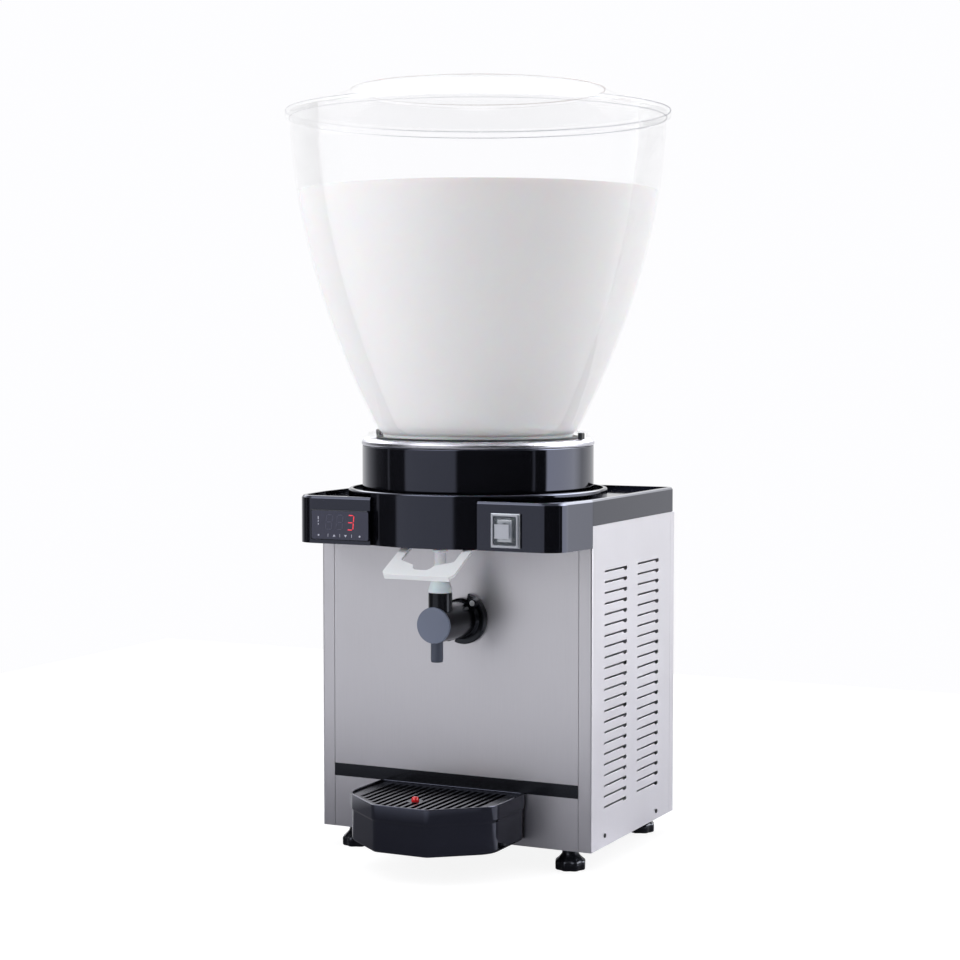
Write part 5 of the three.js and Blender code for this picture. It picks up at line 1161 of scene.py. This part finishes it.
class DISPENSER_OT_controls(bpy.types.Operator):
    """Digital controller and the rocker switch under its clear boot"""
    bl_idname = "dispenser.controls"
    bl_label = "Controls"

    def execute(self, context):
        case = rework("controller_body", "controller_case", 0.7, "satin_black", "root", "matte_black")
        case.data.transform(Matrix.Translation((0, 0, CONTROLLER_LIFT * MM)))
        low, high = (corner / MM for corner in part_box("display_window"))
        face, spread = low.y - 0.25, 2.2
        left, right = low.x - spread + 0.6, high.x + spread + 2.4
        bottom, top = low.z + CONTROLLER_LIFT - spread, high.z + CONTROLLER_LIFT + spread
        outline = eased(rectangle(left, right, bottom, top), 2, 5)
        window = prism("window_tinted", outline, face, low.y - 0.02, "Y")
        fit_out(ease_edges(window, 0.3, 2), "tinted_window", "root", "display_window", "display_window")
        fit_out(merged("digit_lit", digit(LIT_X, face, THREE)), "glow_red", "root", "red_plastic")
        unlit = [bar for x in UNLIT_X for bar in digit(x, face, SEGMENTS)]
        fit_out(merged("digit_unlit", unlit), "dim_segment", "root", "display_window")
        fit_out(merged("key_marks", key_marks(face)), "key_mark", "root", "display_window")
        rework("switch_body", "switch_frame", 0.7, "silver_plastic", "root", "chrome_frame")
        rework("switch_rocker", "switch_rocker_face", 0.6, "silver_plastic", "rocker", "white_plastic")
        stroke = prism("stroke", around(SWITCH_X, SWITCH_Z + 7, 0.5, 2), SWITCH_Y - 2.1, SWITCH_Y - 1.6, "Y")
        ring = turned("ring", [(1.5, -0.25), (2.3, -0.25), (2.3, 0.25), (1.5, 0.25)], 0,
                      (SWITCH_X, SWITCH_Y - 1.85, SWITCH_Z - 7), "Y", 32)
        fit_out(merged("rocker_marks", [stroke, ring]), "dark_hole", "rocker", "white_plastic")
        boot = cut_shapes(dome("switch_boot_clear", 0, -FIT), [dome("inside", 1, 5)])
        fit_out(ease_edges(boot, 0.4, 2, 40), "clear_boot", "root", "clear_plastic", "switch_boot")
        # Painted shade: a thin dark frame on the switch's face for the shade inside the clear boot round the
        # rocker
        shade = framed("switch_shade", (14.5, 16, 1), (8.8, 10.4, 0.5), 0.15, 0.02)
        fit_out(shade, "boot_dark", "root", "matte_black")
        rim = framed("boot_rim_frosted", (16.2, 18.6, 2.2), (14.2, 16.2, 1.6), 2.9, 0.3)
        fit_out(ease_edges(rim, 0.9, 3), "frosted", "root", "clear_plastic")
        plate = prism("plate", opening(8.6, 7.6, 0.8), SWITCH_Y - 9.5, SWITCH_Y - 9.05, "Y")
        beads = []
        for middle in (SWITCH_Z - 7.2, SWITCH_Z + 7.2):
            beads.append(block("bead", SWITCH_X - 8.8, SWITCH_X + 8.8, SWITCH_Y - 10, SWITCH_Y - 9.1,
                               middle - 0.7, middle + 0.7))
        fit_out(ease_edges(join_shapes(plate, beads), 0.25, 2), "frosted", "root", "clear_plastic")
        return {"FINISHED"}


# Cooling set

# The nodes that stay as they are, with their finishes
INNER_NODES = {
    "galvanised": ("base_pan", "top_plate", "gear_motor", "fan_shroud"),
    "foam": ("insulation_block",),
    "copper": ("evaporator_coil", "suction_pipe", "filter_drier", "liquid_pipe"),
    "turned_stainless": ("outlet_spigot",),
    "satin_black": ("compressor",),
    "matte_black": ("fan_motor", "control_box"),
    "mill_aluminium": ("condenser",),
    "white_plastic": ("fan_blade",),
}


class DISPENSER_OT_cooling(bpy.types.Operator):
    """Inlet and the pieces inside the cabinet"""
    bl_idname = "dispenser.cooling"
    bl_label = "Inlet and cooling set"

    def execute(self, context):
        rework("power_inlet", "inlet_socket", 0.5, "satin_black", "root", "matte_black")
        for finish, names in INNER_NODES.items():
            for name in names:
                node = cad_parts[name]
                node.data.materials.clear()
                node.data.materials.append(look(finish))
        return {"FINISHED"}


# Stage

# Light that gloss and metal mirror, by the direction round the dispenser in degrees from the front
MIRRORED = ((-180, 0.285), (-125, 0.285), (-92, 0.04), (-75, 0.01), (-73, 0.12), (-71, 0.01), (-52, 0.015),
            (-49, 0.215), (3, 0.2), (6, 0.012), (81, 0.01), (82.5, 0.2), (84, 0.012), (96, 0.012), (98, 0.85),
            (135, 0.7), (150, 0.285), (180, 0.285))
MIRRORED_STRENGTH, LOW_LIFT, OVERHEAD = 3, 6, 0.7
# Soft light on matt surfaces: its mean, its swing round the dispenser and where that starts, in radians
SOFT_MEAN, SOFT_SWING, SOFT_START = 0.93, 0.9, 0.803
SURROUNDINGS = (0.985, 0.985, 1.0, 1)
FLOOR_HALF, FLOOR_PALE, FLOOR_DIM = 1400, (0.86, 0.86, 0.88, 1), (0.2, 0.2, 0.22, 1)
FLOOR_GLOW, FLOOR_GLOW_SHARE = 1.2, 0.74
# The lamp and the camera, with places in metres
LAMP_PLACE, LAMP_AIM, LAMP_WIDTH, LAMP_DEPTH, LAMP_WATTS = (-0.9, -0.9, 2.1), (0, -0.14, 0.43), 1.0, 0.8, 4
CAMERA_PLACE, CAMERA_YAW, CAMERA_PITCH = (1.1101, -2.2719, 0.5922), math.radians(25.99), math.radians(3.42)
CAMERA_LENS, CAMERA_SENSOR = 80.16, 36


def studio_world(scene):
    """White surroundings for the eye, soft light all round, and softboxes for gloss and metal to mirror."""
    world = bpy.data.worlds.new("studio")
    scene.world = world
    world.use_nodes = True
    world.cycles.sampling_method = "NONE"
    tree = world.node_tree
    split = add_node(tree, "SeparateXYZ", {0: add_node(tree, "TexCoord").outputs["Generated"]}).outputs

    def result(operation, first, second=0):
        return add_math(tree, operation, first, second)

    turn = result("ARCTAN2", split[0], result("MULTIPLY", split[1], -1))
    share = result("ADD", result("DIVIDE", turn, 2 * math.pi), 0.5)
    ramp = add_node(tree, "ValToRGB", {0: share})
    steps = ramp.color_ramp.elements
    while len(steps) > 1:
        steps.remove(steps[-1])
    for i, (angle, value) in enumerate(MIRRORED):
        position = (angle + 180) / 360
        step = steps[0] if i == 0 else steps.new(position)
        step.position, step.color = position, grey(value)
    high = add_range(tree, split[2], from_min=0.6, from_max=0.85)
    raised = add_range(tree, split[2], from_min=0.28, from_max=0.45)
    brighter = result("ADD", result("MULTIPLY", raised, LOW_LIFT), 1)
    sides = result("MULTIPLY", result("MULTIPLY", ramp.outputs[0], MIRRORED_STRENGTH), brighter)
    glossy = result("ADD", result("MULTIPLY", sides, result("SUBTRACT", 1, high)),
                    result("MULTIPLY", high, OVERHEAD))
    path = add_node(tree, "LightPath").outputs
    seen = result("MAXIMUM", path["Is Camera Ray"], path["Is Transmission Ray"])
    shine = result("MULTIPLY", path["Is Glossy Ray"], result("SUBTRACT", 1, seen))
    plain = result("SUBTRACT", result("SUBTRACT", 1, seen), shine)
    swing = result("COSINE", result("MULTIPLY", result("ADD", turn, SOFT_START), 2))
    soft = result("MAXIMUM", result("ADD", result("MULTIPLY", swing, SOFT_SWING), SOFT_MEAN), 0)
    mirrored_light = result("MULTIPLY", shine, glossy)
    total = result("ADD", result("ADD", seen, mirrored_light), result("MULTIPLY", plain, soft))
    feed(tree, tree.nodes["Background"], {"Color": SURROUNDINGS, "Strength": total})


def floor_material():
    """A pale floor, white to the camera, with a dark band near the front for gloss to mirror."""
    material = new_material("floor_white")
    tree = material.node_tree
    tree.nodes.remove(tree.nodes["Principled BSDF"])
    place = add_node(tree, "TexCoord").outputs["Object"]
    ahead = add_node(tree, "SeparateXYZ", {0: place}).outputs[1]
    near = add_node(tree, "ValToRGB", {0: add_math(tree, "ADD", ahead, 1)})
    steps = near.color_ramp.elements
    for step, position, value in zip(steps, (0.2, 0.55), (0, 1)):
        step.position, step.color = position, grey(value)
    for position, value in ((0.93, 1), (0.99, 0)):
        steps.new(position).color = grey(value)
    path = add_node(tree, "LightPath").outputs
    dim = add_math(tree, "MULTIPLY", path["Is Glossy Ray"], near.outputs["Color"])
    shades = add_node(tree, "Mix", {0: dim, MIX_A: FLOOR_PALE, MIX_B: FLOOR_DIM}, data_type="RGBA")
    plain = add_node(tree, "BsdfDiffuse", {"Color": shades.outputs[MIX_RESULT]})
    glow = add_node(tree, "Emission", {"Strength": FLOOR_GLOW})
    mix = add_node(tree, "MixShader", {
        0: add_math(tree, "MULTIPLY", path["Is Camera Ray"], FLOOR_GLOW_SHARE), 1: plain.outputs[0],
        2: glow.outputs[0]})
    feed(tree, tree.nodes["Material Output"], {"Surface": mix.outputs[0]})
    return material


def place_on_stage(name, data, place, ahead):
    """Puts a lamp or the camera in its place, looking ahead."""
    obj = bpy.data.objects.new(name, data)
    bpy.context.scene.collection.objects.link(obj)
    obj.location = place
    obj.rotation_mode = "QUATERNION"
    obj.rotation_quaternion = ahead.to_track_quat("-Z", "Y")
    return obj


class DISPENSER_OT_stage(bpy.types.Operator):
    """Floor, surroundings, lamp and the camera"""
    bl_idname = "dispenser.stage"
    bl_label = "Stage"

    def execute(self, context):
        scene = context.scene
        scene.view_settings.view_transform = "Standard"
        corners = [(x, y, 0) for x, y in around(0, 0, FLOOR_HALF, FLOOR_HALF)]
        floor = new_object("floor", corners, [(0, 1, 2, 3)])
        floor.data.materials.append(floor_material())
        studio_world(scene)
        lamp = bpy.data.lights.new("top_box", "AREA")
        lamp.shape, lamp.size, lamp.size_y, lamp.energy = "RECTANGLE", LAMP_WIDTH, LAMP_DEPTH, LAMP_WATTS
        place_on_stage("top_box", lamp, LAMP_PLACE, Vector(LAMP_AIM) - Vector(LAMP_PLACE))
        view = bpy.data.cameras.new("camera")
        view.sensor_width, view.lens = CAMERA_SENSOR, CAMERA_LENS
        view.clip_start, view.clip_end = 0.05, 100
        level = math.cos(CAMERA_PITCH)
        ahead = Vector((-math.sin(CAMERA_YAW) * level, math.cos(CAMERA_YAW) * level, -math.sin(CAMERA_PITCH)))
        scene.camera = place_on_stage("camera", view, CAMERA_PLACE, ahead)
        return {"FINISHED"}


class DISPENSER_PT_panel(bpy.types.Panel):
    """Sizes, colours and steps of the dispenser"""
    bl_idname = "DISPENSER_PT_panel"
    bl_label = "Drink Dispenser"
    bl_space_type = "VIEW_3D"
    bl_region_type = "UI"
    bl_category = "Dispenser"

    def draw(self, context):
        for name in GROUPS:
            group = getattr(context.scene, name)
            box = self.layout.box()
            for value in group.__annotations__:
                box.prop(group, value)
        for operator in OPERATORS:
            self.layout.operator(operator.bl_idname)


OPERATORS = (DISPENSER_OT_stage, DISPENSER_OT_cabinet, DISPENSER_OT_head, DISPENSER_OT_seat, DISPENSER_OT_bowl,
             DISPENSER_OT_lid, DISPENSER_OT_tap, DISPENSER_OT_lever, DISPENSER_OT_tray, DISPENSER_OT_feet,
             DISPENSER_OT_controls, DISPENSER_OT_cooling)
GROUPS = {"dispenser_bowl": DispenserBowlSizes, "dispenser_head": DispenserHeadSizes,
          "dispenser_tap": DispenserTapSizes, "dispenser_colours": DispenserColours}
CLASSES = (*GROUPS.values(), *OPERATORS, DISPENSER_PT_panel)


def register():
    for cls in CLASSES:
        bpy.utils.register_class(cls)
    for name, cls in GROUPS.items():
        setattr(bpy.types.Scene, name, PointerProperty(type=cls))


def unregister():
    for name in GROUPS:
        delattr(bpy.types.Scene, name)
    for cls in reversed(CLASSES):
        bpy.utils.unregister_class(cls)


def main():
    register()
    for operator in OPERATORS:
        group, action = operator.bl_idname.split(".")
        getattr(getattr(bpy.ops, group), action)()


if __name__ == "__main__":
    main()
